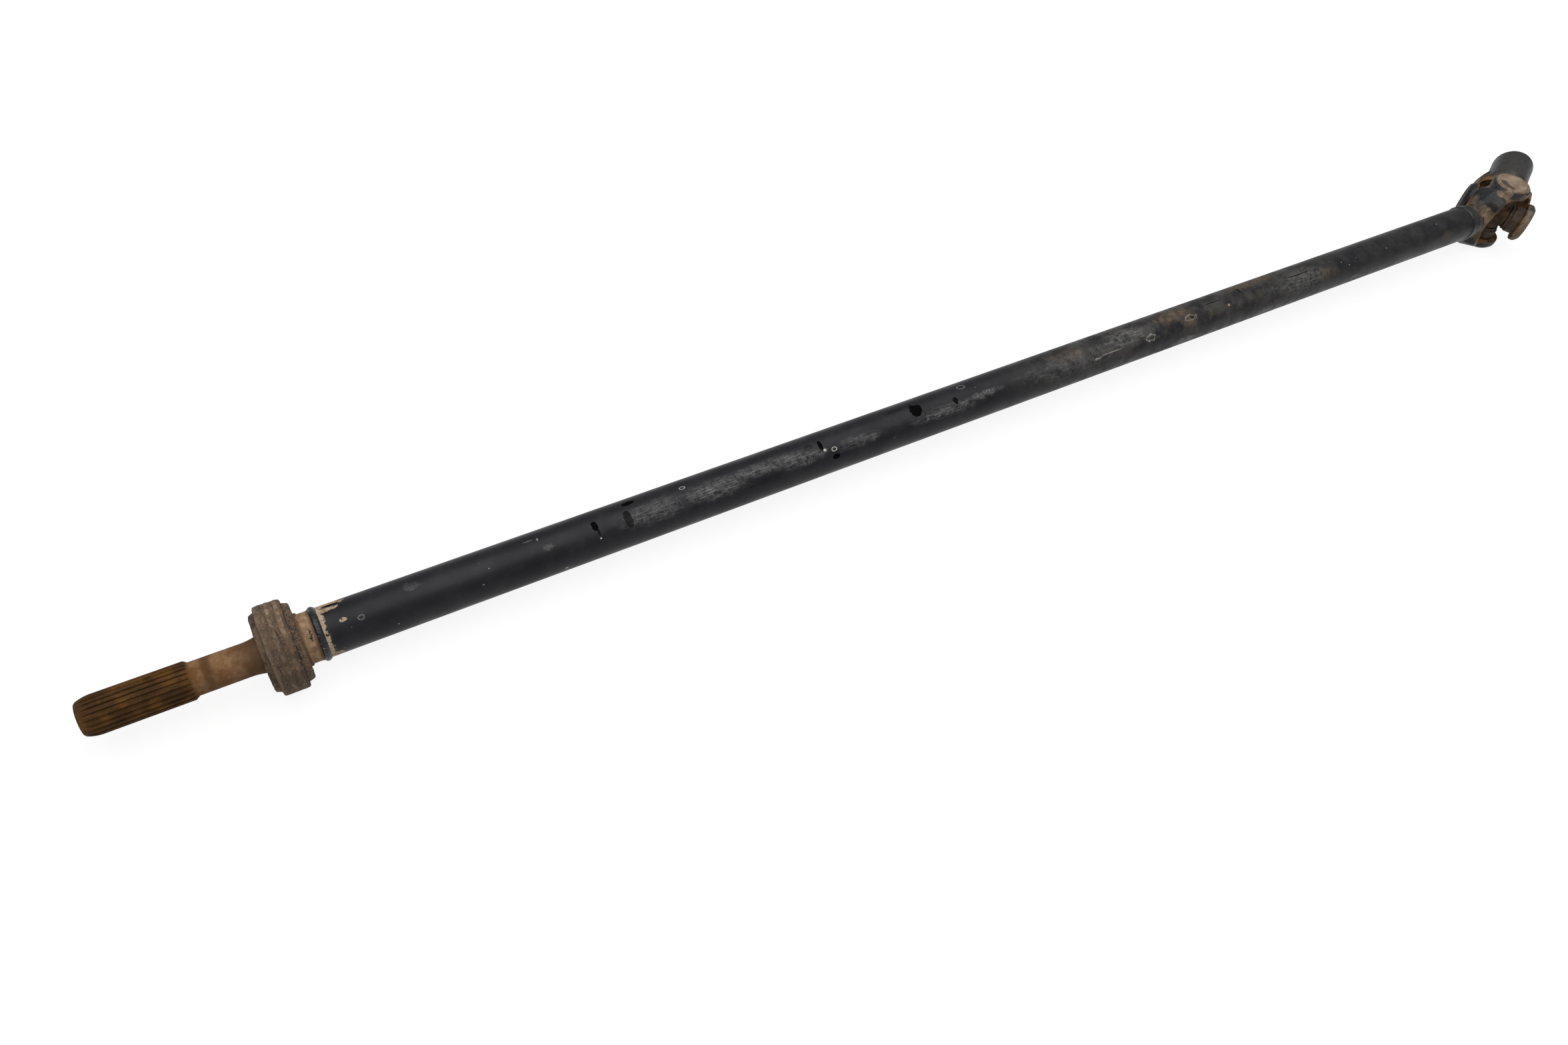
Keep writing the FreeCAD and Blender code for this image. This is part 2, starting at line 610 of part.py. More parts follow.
def make_rear_weld():
    """Weld bead between tube and tube yoke, which fills their groove."""
    body = new_body("rear_weld_bead")
    start = "(rear_bead_edge - rear_bead_lap)"
    end = "(rear_weld + neck_bevel + rear_bead_lap)"
    crown = bead_arc(start, end, "(neck_d - tube_od) / 2", "rear_bead_height")
    revolve(body, "RearBead", draw(body, "RearBeadProfile", "XZ_Plane", (
        ("rear_weld - root_gap", "spigot_d / 2"),
        ("rear_weld - root_gap", "tube_id / 2"),
        ("rear_bead_edge", "tube_od / 2"),
        (start, "tube_od / 2"),
        (end, "neck_d / 2", crown, 1),
        ("rear_weld + neck_bevel", "neck_d / 2"),
        ("rear_weld", "spigot_d / 2"),
    )))
    place(body)


def mirrored(half):
    """Close an outline that is symmetric about its sketch's horizontal axis."""
    other = []
    bend = ()
    for corner in reversed(half):
        other.append((corner[0], "-(%s)" % corner[1]) + bend)
        bend = corner[2:]
    return tuple(half) + tuple(other)


def ear_round(radius):
    """Outline of an ear in plan, from waist to waist round its free side."""
    turn = "(atan(waist / waist_place) + acos(%s / hypot(waist; waist_place)))" % radius
    x = "-%s * cos(%s)" % (radius, turn)
    y = "%s * sin(%s)" % (radius, turn)
    return (
        ("-waist_place", "waist"),
        (x, y),
        (radius, "0", radius, 1),
        (x, "-(%s)" % y, radius, 1),
        ("-waist_place", "-waist"),
    )


def make_fork(body, name):
    """Forged fork of the named yoke: its neck points to -X, its ears to +Z and -Z."""
    face = "%s_ear_face" % name
    side = draw(body, "ForkSide", "XZ_Plane", mirrored((
        ("-%s_arm_foot" % name, "%s_arm_foot_half" % name),
        ("-arm_crest", "%s_arm_crest_half" % name, "%s_arm_swell" % name, 1),
        ("-arm_valley", "%s_arm_valley_half" % name),
        ("ear_radius", "%s_arm_valley_half" % name),
    )))
    blank = body.newObject("PartDesign::Pad", "ForkBlank")
    blank.Profile = side
    blank.SideType = "Two sides"
    bind(blank, "Length", "ear_radius")
    bind(blank, "Length2", "ear_radius")
    bind(blank, "TaperAngle", "-forging_draft")
    bind(blank, "TaperAngle2", "-forging_draft")

    # everything outside the plan of the arms is trimmed away
    outside = (
        ("-%s_arm_foot - 2 * ear_radius" % name, "-3 * ear_radius"),
        ("3 * ear_radius", "-3 * ear_radius"),
        ("3 * ear_radius", "3 * ear_radius"),
        ("-%s_arm_foot - 2 * ear_radius" % name, "3 * ear_radius"),
    )
    plan = (
        ("-%s_arm_foot - ear_radius" % name, "rib_half"),
        ("-rib_end", "rib_half"),
        ("-arm_base", "arm_base_half", "rib_fan", -1),
    ) + ear_round("ear_radius") + (
        ("-arm_base", "-arm_base_half"),
        ("-rib_end", "-rib_half", "rib_fan", -1),
        ("-%s_arm_foot - ear_radius" % name, "-rib_half"),
    )
    pocket(body, "PlanTrim", draw(body, "ForkPlan", "XY_Plane", outside, plan), "4 * %s" % face)

    crown = "(%s - rim_height)" % face
    revolve(body, "EarsTurned", draw(body, "EarProfile", "XZ_Plane", mirrored((
        ("0", face),
        ("rim_radius - rim_corner", face),
        ("rim_radius", "%s - rim_corner" % face),
        ("rim_radius", crown),
        ("ear_radius - ear_chamfer", crown),
        ("ear_radius", "%s - ear_chamfer" % crown),
    ))), "V_Axis")


def cut_fork(body):
    """Open the throat between the ears and bore them."""
    throat = draw(body, "Throat", "XZ_Plane", (
        ("0", "-ear_inner"),
        ("throat_edge", "-ear_inner"),
        ("throat_edge", "ear_inner", "throat_radius", -1),
        ("0", "ear_inner"),
    ))
    groove(body, "ThroatCut", throat, "V_Axis")

    bore = "cup_radius + seat_gap"
    groove_end = "(cup_end + clip_thick + 2 * clip_gap)"
    for name, sign in (("Top", "1"), ("Bottom", "-1")):
        profile = draw(body, name + "BoreProfile", "XZ_Plane", (
            ("0", "%s * ear_inner / 2" % sign),
            (bore, "%s * ear_inner / 2" % sign),
            (bore, "%s * cup_end" % sign),
            ("clip_groove_radius", "%s * cup_end" % sign),
            ("clip_groove_radius", "%s * %s" % (sign, groove_end)),
            (bore, "%s * %s" % (sign, groove_end)),
            (bore, "%s * 2 * cup_end" % sign),
            ("0", "%s * 2 * cup_end" % sign),
        ))
        groove(body, name + "Bore", profile, "V_Axis")


def make_tube_yoke():
    """Tube yoke: fork, coved neck, and a spigot in the tube."""
    body = new_body("tube_yoke")
    make_fork(body, "tube")
    start = "(neck_land - weld_to_joint)"
    drop = "((neck_d - cove_d) / 2)"
    rise = "((web_d - cove_d) / 2)"
    run = "(weld_to_joint - neck_land - cove_length - web_face)"
    fall_radius = "(cove_start ^ 2 + %s ^ 2) / (2 * %s)" % (drop, drop)
    rise_radius = "(%s ^ 2 + %s ^ 2) / (2 * %s)" % (run, rise, rise)
    revolve(body, "NeckTurned", draw(body, "NeckProfile", "XZ_Plane", (
        ("-weld_to_joint - spigot_length", "0"),
        ("-weld_to_joint - spigot_length", "spigot_d / 2"),
        ("-weld_to_joint", "spigot_d / 2"),
        ("-weld_to_joint + neck_bevel", "neck_d / 2"),
        (start, "neck_d / 2"),
        ("%s + cove_start" % start, "cove_d / 2", fall_radius, -1),
        ("%s + cove_length" % start, "cove_d / 2"),
        ("-web_face", "web_d / 2", rise_radius, -1),
        ("-throat_edge", "web_d / 2"),
        ("-throat_edge", "0"),
    )))
    cut_fork(body)
    place(body, "joint_middle")


def make_coupler_yoke():
    """Splined coupler: fork and hub, with a splined bore that is open to the throat."""
    body = new_body("coupler_yoke")
    make_fork(body, "coupler")
    revolve(body, "HubTurned", draw(body, "HubProfile", "XZ_Plane", (
        ("-hub_reach", "0"),
        ("-hub_reach", "hub_d / 2 - hub_round"),
        ("-hub_reach + hub_round", "hub_d / 2", "hub_round", 1),
        ("-hub_waist - hub_land", "hub_d / 2"),
        ("-hub_waist", "hub_waist_d / 2"),
        ("-throat_edge", "hub_waist_d / 2"),
        ("-throat_edge", "0"),
    )))
    cut_fork(body)
    groove(body, "HubBore", draw(body, "HubBoreProfile", "XZ_Plane", (
        ("-hub_reach - mouth_chamfer", "0"),
        ("-hub_reach - mouth_chamfer", "mouth_d / 2 + 2 * mouth_chamfer"),
        ("-hub_reach + mouth_chamfer", "mouth_d / 2"),
        ("-hub_reach + mouth_depth", "mouth_d / 2"),
        ("-hub_reach + mouth_depth", "coupler_bore"),
        ("-throat_edge / 2", "coupler_bore"),
        ("-throat_edge / 2", "0"),
    )))
    inside = "(coupler_bore - spline_depth / 2)"
    space = draw(body, "CouplerSpace", "YZ_Plane", (
        ("-(%s + spline_play) / 2" % tooth_width(inside), inside),
        ("(%s + spline_play) / 2" % tooth_width(inside), inside),
        ("(%s + spline_play) / 2" % tooth_width("coupler_root"), "coupler_root"),
        ("-(%s + spline_play) / 2" % tooth_width("coupler_root"), "coupler_root"),
    ))
    bind(space, "AttachmentOffset.Base.z", "-(hub_reach + throat_edge / 2) / 2")
    cut = pocket(body, "CouplerSpaceCut", space, "hub_reach - throat_edge / 2")
    repeat(body, "CouplerSplines", cut, "X_Axis", "spline_teeth")
    place(body, "joint_middle", (SWING, RISE, TO_NEAR, ABOUT))


def make_cross():
    """Forged cross with four ground trunnions."""
    body = new_body("joint_cross")
    arm = mirrored((
        ("0", "trunnion_end"),
        ("trunnion_radius - cup_corner", "trunnion_end"),
        ("trunnion_radius", "trunnion_end - cup_corner"),
        ("trunnion_radius", "shoulder_face"),
        ("shoulder_radius - cup_corner", "shoulder_face"),
        ("shoulder_radius", "shoulder_face - cup_corner"),
    ))
    revolve(body, "UprightArms", draw(body, "UprightProfile", "XZ_Plane", arm), "V_Axis")
    level = tuple((y, x) for x, y in arm)
    revolve(body, "LevelArms", draw(body, "LevelProfile", "YZ_Plane", level), "H_Axis")
    place(body, "joint_middle", (SWING,))


def make_cup(end, turns):
    """Drawn bearing cup in an ear, its closed end dished."""
    body = new_body("%s_cup" % end)
    revolve(body, "CupDrawn", draw(body, "CupProfile", "XZ_Plane", (
        ("0", "cup_floor"),
        ("cup_bore", "cup_floor"),
        ("cup_bore", "cup_mouth"),
        ("cup_radius - cup_corner", "cup_mouth"),
        ("cup_radius", "cup_mouth + cup_corner"),
        ("cup_radius", "cup_end - cup_corner"),
        ("cup_radius - cup_corner", "cup_end"),
        ("cup_dish_radius", "cup_end"),
        ("cup_dish_radius - cup_dish", "cup_end - cup_dish"),
        ("0", "cup_end - cup_dish"),
    )), "V_Axis")
    place(body, "joint_middle", turns)


def make_cup_seal(end, turns):
    """Rubber seal between a cup's mouth and the shoulder of the cross."""
    body = new_body("%s_cup_seal" % end)
    bore = "trunnion_radius + lip_gap"
    revolve(body, "CupSealMoulded", draw(body, "CupSealProfile", "XZ_Plane", (
        (bore, "shoulder_face + joint_seal_gap"),
        ("joint_seal_radius", "shoulder_face + joint_seal_gap"),
        ("joint_seal_radius", "cup_mouth"),
        ("cup_bore - seat_gap", "cup_mouth"),
        ("cup_bore - seat_gap", "cup_mouth + joint_seal_plug"),
        (bore, "cup_mouth + joint_seal_plug"),
    )), "V_Axis")
    place(body, "joint_middle", turns)


def make_snap_ring(end, turns):
    """Open snap ring that holds a cup in its ear."""
    body = new_body("%s_snap_ring" % end)
    ring = revolve(body, "RingStamped", draw(body, "RingProfile", "XZ_Plane", (
        ("clip_inner_radius", "clip_start"),
        ("clip_radius", "clip_start"),
        ("clip_radius", "clip_start + clip_thick"),
        ("clip_inner_radius", "clip_start + clip_thick"),
    )), "V_Axis")
    bind(ring, "Angle", "360 - clip_opening")
    place(body, "joint_middle", turns)


def make_needles(end, turns):
    """Needle rollers between a trunnion and its cup, one solid each."""
    needles = []
    for index in range(int(size("needle_count"))):
        needle = doc.addObject("Part::Cylinder", "%sNeedle%d" % (end.title(), index + 1))
        angle = "%d * 360 / needle_count" % index
        bind(needle, "Radius", "needle_d / 2")
        bind(needle, "Height", "needle_length")
        bind(needle, "Placement.Base.x", "needle_circle * cos(%s)" % angle)
        bind(needle, "Placement.Base.y", "needle_circle * sin(%s)" % angle)
        bind(needle, "Placement.Base.z", "needle_start")
        needles.append(needle)
    place(gather("%s_needles" % end, needles), "joint_middle", turns)


def check_document(document):
    """Stop unless every object is sound and every piece has valid solids."""
    for item in document.Objects:
        if "Invalid" in item.State or "Error" in item.State:
            raise RuntimeError("%s failed: %s" % (item.Name, item.State))
    for piece in pieces:
        if piece.Shape.isNull() or not piece.Shape.isValid() or not piece.Shape.Solids:
            raise RuntimeError("%s has no valid solid" % piece.Label)


def write_pieces():
    """Write each piece to its own STEP file."""
    os.makedirs("parts", exist_ok=True)
    for piece in pieces:
        piece.Shape.exportStep("parts/%s.step" % piece.Label)


doc = FreeCAD.newDocument("RearDriveShaft")
pieces = []
sheet = fill_sheet(doc)
make_stub_shaft()
make_inner_ring()
make_slinger("front_slinger", "-1", "front_slinger_wide", "front_slinger_d")
make_slinger("rear_slinger", "1", "rear_slinger_wide", "rear_slinger_d")
make_outer_ring()
make_bearing_seal("front_seal", "-1")
make_bearing_seal("rear_seal", "1")
make_balls()
make_cage()
make_front_weld()
make_tube()
make_rear_weld()
make_tube_yoke()
make_cross()
for end_name, end_turns in ENDS:
    make_cup(end_name, end_turns)
    make_cup_seal(end_name, end_turns)
    make_snap_ring(end_name, end_turns)
    make_needles(end_name, end_turns)
make_coupler_yoke()
doc.recompute()
check_document(doc)
write_pieces()
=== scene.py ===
"""Looks of the rear drive shaft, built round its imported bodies.

Lengths are metres in the part's own frame: X runs along the shaft from the splined stub
to the universal joint, Z along the tube yoke's cross axis, and the origin is the middle
of the support bearing. Marks on the shaft are given in millimetres along X and in
degrees round it from the side that faces the camera, with plus towards the top.
"""

import logging
import math
from dataclasses import dataclass
from enum import Enum
from typing import Callable, Optional, Sequence, Union

import bmesh
import bpy
from mathutils import Matrix, Vector, noise


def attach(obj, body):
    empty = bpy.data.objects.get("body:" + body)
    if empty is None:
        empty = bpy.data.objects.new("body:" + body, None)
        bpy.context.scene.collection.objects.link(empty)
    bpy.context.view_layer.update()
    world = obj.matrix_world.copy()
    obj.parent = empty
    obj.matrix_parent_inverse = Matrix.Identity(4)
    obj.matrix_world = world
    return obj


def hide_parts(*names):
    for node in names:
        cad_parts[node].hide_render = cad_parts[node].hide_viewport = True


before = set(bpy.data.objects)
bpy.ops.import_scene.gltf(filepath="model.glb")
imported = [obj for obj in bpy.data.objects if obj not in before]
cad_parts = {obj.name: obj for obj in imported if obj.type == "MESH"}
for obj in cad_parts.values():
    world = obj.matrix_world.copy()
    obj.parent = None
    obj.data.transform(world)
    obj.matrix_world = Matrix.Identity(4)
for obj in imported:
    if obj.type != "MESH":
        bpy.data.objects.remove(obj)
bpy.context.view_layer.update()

log = logging.getLogger("drive_shaft")
MM = 0.001
PER_METRE = 1000.0
# Middle of the universal joint, and how far its coupler is folded sideways and tilted up.
JOINT = Vector((1.282, 0.0, 0.0))
FOLD = math.radians(27.5)
TILT = math.radians(4.0)
HUB_WAY = Vector((math.cos(FOLD) * math.cos(TILT), math.sin(FOLD) * math.cos(TILT), math.sin(TILT)))
NEAR_WAY = Vector((math.sin(FOLD), -math.cos(FOLD), 0.0))
LIFT_WAY = NEAR_WAY.cross(HUB_WAY)
TOP_WAY = Vector((0.0, 0.0, 1.0))
# Degrees from the top of the shaft to the side that faces the camera.
FACING = 35.6
# Start of the visible tube and its diameter, in millimetres.
TUBE_START = 24.5
TUBE_WIDE = 35.0

Socket = bpy.types.NodeSocket
Feed = Union["Value", Socket, float, Sequence[float]]
Colour = tuple[float, float, float]
Shell = bmesh.types.BMesh
Profile = Sequence[tuple[float, float]]


def tube_place(diameters: float) -> float:
    """Millimetres along X of a place given in tube diameters from the tube's start."""
    return TUBE_START + TUBE_WIDE * diameters


class Value:
    """A number or colour over the surface; numbers take plain arithmetic."""

    def __init__(self, graph: "Graph", socket: Socket) -> None:
        """Hold the output of a node."""
        self.graph = graph
        self.socket = socket

    def __add__(self, other: Feed) -> "Value":
        """Sum."""
        return self.graph.math("ADD", self, other)

    def __sub__(self, other: Feed) -> "Value":
        """Difference."""
        return self.graph.math("SUBTRACT", self, other)

    def __rsub__(self, other: float) -> "Value":
        """Difference from a plain number."""
        return self.graph.math("SUBTRACT", other, self)

    def __mul__(self, other: Feed) -> "Value":
        """Product."""
        return self.graph.math("MULTIPLY", self, other)

    def __truediv__(self, other: Feed) -> "Value":
        """Quotient."""
        return self.graph.math("DIVIDE", self, other)

    def __or__(self, other: Feed) -> "Value":
        """Larger of the two, which joins masks."""
        return self.graph.math("MAXIMUM", self, other)

    def __abs__(self) -> "Value":
        """Size without its sign."""
        return self.graph.math("ABSOLUTE", self)

    def squared(self) -> "Value":
        """The number times itself."""
        return self.graph.math("POWER", self, 2.0)

    def root(self) -> "Value":
        """Square root."""
        return self.graph.math("SQRT", self)

    def held(self) -> "Value":
        """The number kept between 0 and 1."""
        return self.graph.math("ADD", self, 0.0, clamp=True)

    def fade(self, start: Feed, end: Feed, low: float = 0.0, high: float = 1.0) -> "Value":
        """Smooth step as the number goes from a start to an end, which may lie below the start.

        Args:
            start: Number at which the step starts.
            end: Number at which it ends.
            low: Result at the start and before it.
            high: Result at the end and after it.

        Returns:
            The result.
        """
        given = {"Value": self, "From Min": start, "From Max": end, "To Min": low, "To Max": high}
        return self.graph.result("MapRange", "Result", given, interpolation_type="SMOOTHSTEP", clamp=True)

    def band(self, start: float, full: float, wane: float, end: float) -> "Value":
        """Mask that rises from a start to full and falls from its wane to the end."""
        return self.fade(start, full) * self.fade(end, wane)


class Graph:
    """Nodes of one tree, added and joined by short calls."""

    def __init__(self, tree: bpy.types.NodeTree) -> None:
        """Work on a shader's or group's tree, whose effects are taken at its place."""
        self.tree = tree
        self.place: Feed = (0.0, 0.0, 0.0)

    def feed(self, socket: Socket, value: Feed) -> None:
        """Join a socket to an output, or set its plain value.

        Args:
            socket: Input to feed.
            value: Output, number, vector or colour.
        """
        source = value.socket if isinstance(value, Value) else value
        if isinstance(source, bpy.types.NodeSocket):
            self.tree.links.new(source, socket)
        else:
            socket.default_value = (*source, 1.0) if socket.type == "RGBA" else source

    def node(self, kind: str, inputs: dict[Union[str, int], Feed], **settings: object) -> bpy.types.Node:
        """Add a node.

        Args:
            kind: Blender's name of the node type, after "ShaderNode".
            inputs: Values by input name or number.
            settings: Properties of the node.

        Returns:
            The new node.
        """
        item = self.tree.nodes.new("ShaderNode" + kind)
        for name, value in settings.items():
            setattr(item, name, value)
        for key, value in inputs.items():
            self.feed(item.inputs[key], value)
        return item

    def result(self, kind: str, output: Union[str, int], inputs: dict[Union[str, int], Feed],
               **settings: object) -> Value:
        """Add a node and take one of its outputs."""
        return Value(self, self.node(kind, inputs, **settings).outputs[output])

    def math(self, operation: str, *values: Feed, clamp: bool = False) -> Value:
        """Work out one number, kept between 0 and 1 with clamp."""
        return self.result("Math", 0, dict(enumerate(values)), operation=operation, use_clamp=clamp)

    def vector(self, operation: str, *values: Feed, out: str = "Vector") -> Value:
        """Work out one vector, or with out="Value" one number from vectors."""
        return self.result("VectorMath", out, dict(enumerate(values)), operation=operation)

    def parts(self, vector: Feed) -> tuple[Value, ...]:
        """X, Y and Z of a vector."""
        return tuple(Value(self, socket) for socket in self.node("SeparateXYZ", {0: vector}).outputs)

    def blend(self, share: Feed, first: Feed, second: Feed) -> Value:
        """Mix a share of the second colour into the first."""
        return self.result("Mix", 2, {0: share, 6: first, 7: second}, data_type="RGBA", clamp_factor=True)

    def coats(self, base: Feed, *layers: tuple[Feed, Feed]) -> Feed:
        """Lay colours over a base.

        Args:
            base: Colour underneath.
            layers: Share and colour of each coat, lowest first.

        Returns:
            The colour on top.
        """
        for share, tint in layers:
            base = self.blend(share, base, tint)
        return base

    def noise(self, scale: Feed, detail: float = 3.0, rough: float = 0.55, bend: float = 0.0,
              at: Optional[Feed] = None) -> Value:
        """Noise between about 0.2 and 0.8, at the graph's place or another."""
        return self.result("TexNoise", "Fac", {"Vector": at or self.place, "Scale": scale, "Detail": detail,
                                               "Roughness": rough, "Distortion": bend})

    def drift(self, amount: Feed, scale: float, detail: float = 4.0, rough: float = 0.55) -> Value:
        """Noise about 0 that spans a bit over half of an amount."""
        return (self.noise(scale, detail, rough) - 0.5) * amount

    def mottle(self, scale: float) -> Value:
        """Share that wanders between 0 and 1."""
        return self.noise(scale, 5.0).fade(0.35, 0.65)

    def group(self, name: str, **inputs: Feed) -> dict[str, Value]:
        """Use a shared effect at the graph's place.

        Args:
            name: Name of the node group.
            inputs: Values by input name, with spaces written as underscores.

        Returns:
            Its outputs by name.
        """
        item = self.node("Group", {}, node_tree=bpy.data.node_groups[name])
        for key, value in {"Position": self.place, **inputs}.items():
            self.feed(item.inputs[key.replace("_", " ")], value)
        return {socket.name: Value(self, socket) for socket in item.outputs}

    def patches(self, scale: float, cover: float, soft: float) -> Value:
        """Uneven patches of a fineness that cover a share of the surface, with soft edges."""
        return self.group("Patches", Scale=scale, Cover=cover, Soft=soft)["Mask"]

    def streaks(self, scale: float, cover: float, along: float = 1.0, around: float = 1.0) -> Value:
        """Fine scratches, longer in the direction with the smaller number."""
        return self.group("Streaks", Scale=scale, Cover=cover, Stretch=(along, around, around))["Mask"]

    def spot(self, spot: "DirtSpot", rag: float) -> Value:
        """Ragged patch of dirt."""
        centre = JOINT + Vector((spot.x, spot.y, spot.z)) * MM
        return self.group("Spot", Centre=centre, Radius=spot.radius * MM, Rag=rag)["Mask"] * spot.strength

    def give(self, **results: Value) -> None:
        """Hand out the results of a group.

        Args:
            results: Values by output name.
        """
        end = self.tree.nodes.new("NodeGroupOutput")
        for name, value in results.items():
            self.feed(end.inputs[name], value)


def new_group(name: str, outputs: Sequence[str], numbers: Sequence[str] = (),
              vectors: Sequence[str] = ()) -> tuple[Graph, dict[str, Value]]:
    """Start a shared effect that is taken at its input Position.

    Args:
        name: Name of the group.
        outputs: Names of its number outputs.
        numbers: Names of its number inputs.
        vectors: Names of its other vector inputs.

    Returns:
        Its graph and its inputs by name.
    """
    tree = bpy.data.node_groups.new(name, "ShaderNodeTree")
    for side, kind, labels in (("INPUT", "Vector", ("Position", *vectors)), ("INPUT", "Float", numbers),
                               ("OUTPUT", "Float", outputs)):
        for label in labels:
            tree.interface.new_socket(label, in_out=side, socket_type="NodeSocket" + kind)
    graph = Graph(tree)
    start = tree.nodes.new("NodeGroupInput")
    given = {socket.name: Value(graph, socket) for socket in start.outputs if socket.name}
    graph.place = given["Position"]
    return graph, given


class Effects:
    """Shared effects that the finishes use."""

    def build(self) -> None:
        """Make every shared effect once."""
        self.shaft_map()
        self.joint_map()
        self.mark()
        self.spot()
        self.patches()
        self.streaks()

    def shaft_map(self) -> None:
        """Millimetres along the shaft, degrees round it, and millimetres from its axis."""
        graph, given = new_group("Shaft map", ("Along", "Around", "Out"))
        x, y, z = graph.parts(given["Position"])
        turn = graph.math("DEGREES", graph.math("ARCTAN2", y * -1, z))
        graph.give(Along=x * PER_METRE, Around=FACING - turn, Out=(y.squared() + z.squared()).root() * PER_METRE)

    def joint_map(self) -> None:
        """Millimetres from the joint's middle along the hub, towards the near ear, up, and off the hub's axis."""
        graph, given = new_group("Joint map", ("Hub", "Near", "Lift", "Out"))
        local = graph.vector("SUBTRACT", given["Position"], JOINT)
        hub, near, lift = (graph.vector("DOT_PRODUCT", local, way, out="Value") * PER_METRE
                           for way in (HUB_WAY, NEAR_WAY, LIFT_WAY))
        graph.give(Hub=hub, Near=near, Lift=lift, Out=(near.squared() + lift.squared()).root())

    def mark(self) -> None:
        """Ragged oval mark at a place on the shaft, and its outline."""
        graph, given = new_group("Mark", ("Mask", "Edge"), (
            "Along", "Around", "Centre", "Turn", "Half Length", "Half Turn", "Rag", "Soft"))
        length = (given["Along"] - given["Centre"]) / given["Half Length"]
        turn = (given["Around"] - given["Turn"]) / given["Half Turn"]
        reach = (length.squared() + turn.squared()).root() + graph.drift(given["Rag"], 190, 4, 0.65)
        mask = reach.fade(given["Soft"] + 1, 1 - given["Soft"])
        inner = reach.fade(0.78, 0.55)
        graph.give(Mask=mask, Edge=(mask - inner).held())

    def spot(self) -> None:
        """Ragged round patch about a point."""
        graph, given = new_group("Spot", ("Mask",), ("Radius", "Rag"), ("Centre",))
        reach = graph.vector("DISTANCE", given["Position"], given["Centre"], out="Value") / given["Radius"]
        ragged = reach + graph.drift(given["Rag"], 130, 3, 0.6)
        graph.give(Mask=ragged.fade(1.15, 0.72))

    def patches(self) -> None:
        """Uneven patches that cover a share of the surface."""
        graph, given = new_group("Patches", ("Mask",), ("Scale", "Cover", "Soft"))
        spread = graph.noise(given["Scale"], 6, 0.62).fade(0.28, 0.72)
        edge = 1 - given["Cover"]
        graph.give(Mask=spread.fade(edge - given["Soft"], edge + given["Soft"]))

    def streaks(self) -> None:
        """Fine scratches, drawn out along X or round the shaft by Stretch."""
        graph, given = new_group("Streaks", ("Mask",), ("Scale", "Cover"), ("Stretch",))
        drawn = graph.vector("MULTIPLY", given["Position"], given["Stretch"])
        edge = 0.72 - given["Cover"] * 0.34
        graph.give(Mask=graph.noise(given["Scale"], 4, 0.7, at=drawn).fade(edge, edge + 0.1))


@dataclass
class Surface:
    """What a finish gives its shader; the depth of its relief is in metres."""

    colour: Feed
    roughness: Feed
    height: Value
    depth: float
    specular: Feed
    metallic: Feed = 0.0


@dataclass(frozen=True)
class Finish:
    """A material of its own, by name."""

    name: str

    def surface(self, graph: Graph) -> Surface:
        """Colours, roughness and relief over the surface, as nodes of the material's graph."""
        raise NotImplementedError

    def material(self) -> bpy.types.Material:
        """Make the material, or find it if it is there.

        Returns:
            The material.
        """
        if self.name in bpy.data.materials:
            return bpy.data.materials[self.name]
        made = bpy.data.materials.new(self.name)
        made.use_nodes = True
        graph = Graph(made.node_tree)
        graph.place = graph.node("TexCoord", {}).outputs["Object"]
        look = self.surface(graph)
        bump = graph.node("Bump", {"Strength": 1.0, "Distance": look.depth, "Height": look.height})
        shader = made.node_tree.nodes["Principled BSDF"]
        for name, value in (("Base Color", look.colour), ("Roughness", look.roughness), ("Metallic", look.metallic),
                            ("Specular IOR Level", look.specular), ("Normal", bump.outputs["Normal"])):
            graph.feed(shader.inputs[name], value)
        return made


@dataclass(frozen=True)
class Coat:
    """Patches of one colour, and the share of it that they bring."""

    tint: Colour
    scale: float
    cover: float
    soft: float
    share: float = 1.0


@dataclass(frozen=True)
class Patchy(Finish):
    """Coats of patches over a base, with a rough skin; metal shines where the first coat is thin."""

    base: Colour
    coats: tuple[Coat, ...]
    skin: tuple[float, float, float]
    rough: tuple[float, float]
    depth: float = 0.0003
    specular: float = 0.3
    shine: float = 0.0

    def surface(self, graph: Graph) -> Surface:
        """Lay the coats and add the skin's grain.

        Args:
            graph: Graph of the material.

        Returns:
            The surface for the shader.
        """
        masks = [graph.patches(coat.scale, coat.cover, coat.soft) for coat in self.coats]
        base = graph.coats(self.base, *((mask * coat.share, coat.tint) for mask, coat in zip(masks, self.coats)))
        metal = (1.0 - masks[0]) * self.shine if self.shine else 0.0
        skin = graph.noise(*self.skin)
        return Surface(base, skin.fade(0.3, 0.7, *self.rough), skin, self.depth, self.specular, metal)


class Wear(Enum):
    """Kinds of mark on the tube's paint, each with how softly it ends."""

    BARE = ("peeled to tan", 0.09)
    PALE = ("pale chip or scratch", 0.09)
    DARK = ("fresh dark paint", 0.09)
    SCUFF = ("rubbed zone", 0.55)
    HAZE = ("film of tan dust", 0.6)
    RING = ("outline of a pressed mark", 0.12)

    @property
    def soft(self) -> float:
        """How softly the mark ends."""
        return self.value[1]


@dataclass(frozen=True)
class TubeMark:
    """One mark on the tube: place in tube diameters and degrees, half sizes in millimetres and degrees."""

    along: float
    around: float
    half_length: float
    half_turn: float
    rag: float
    strength: float = 1.0


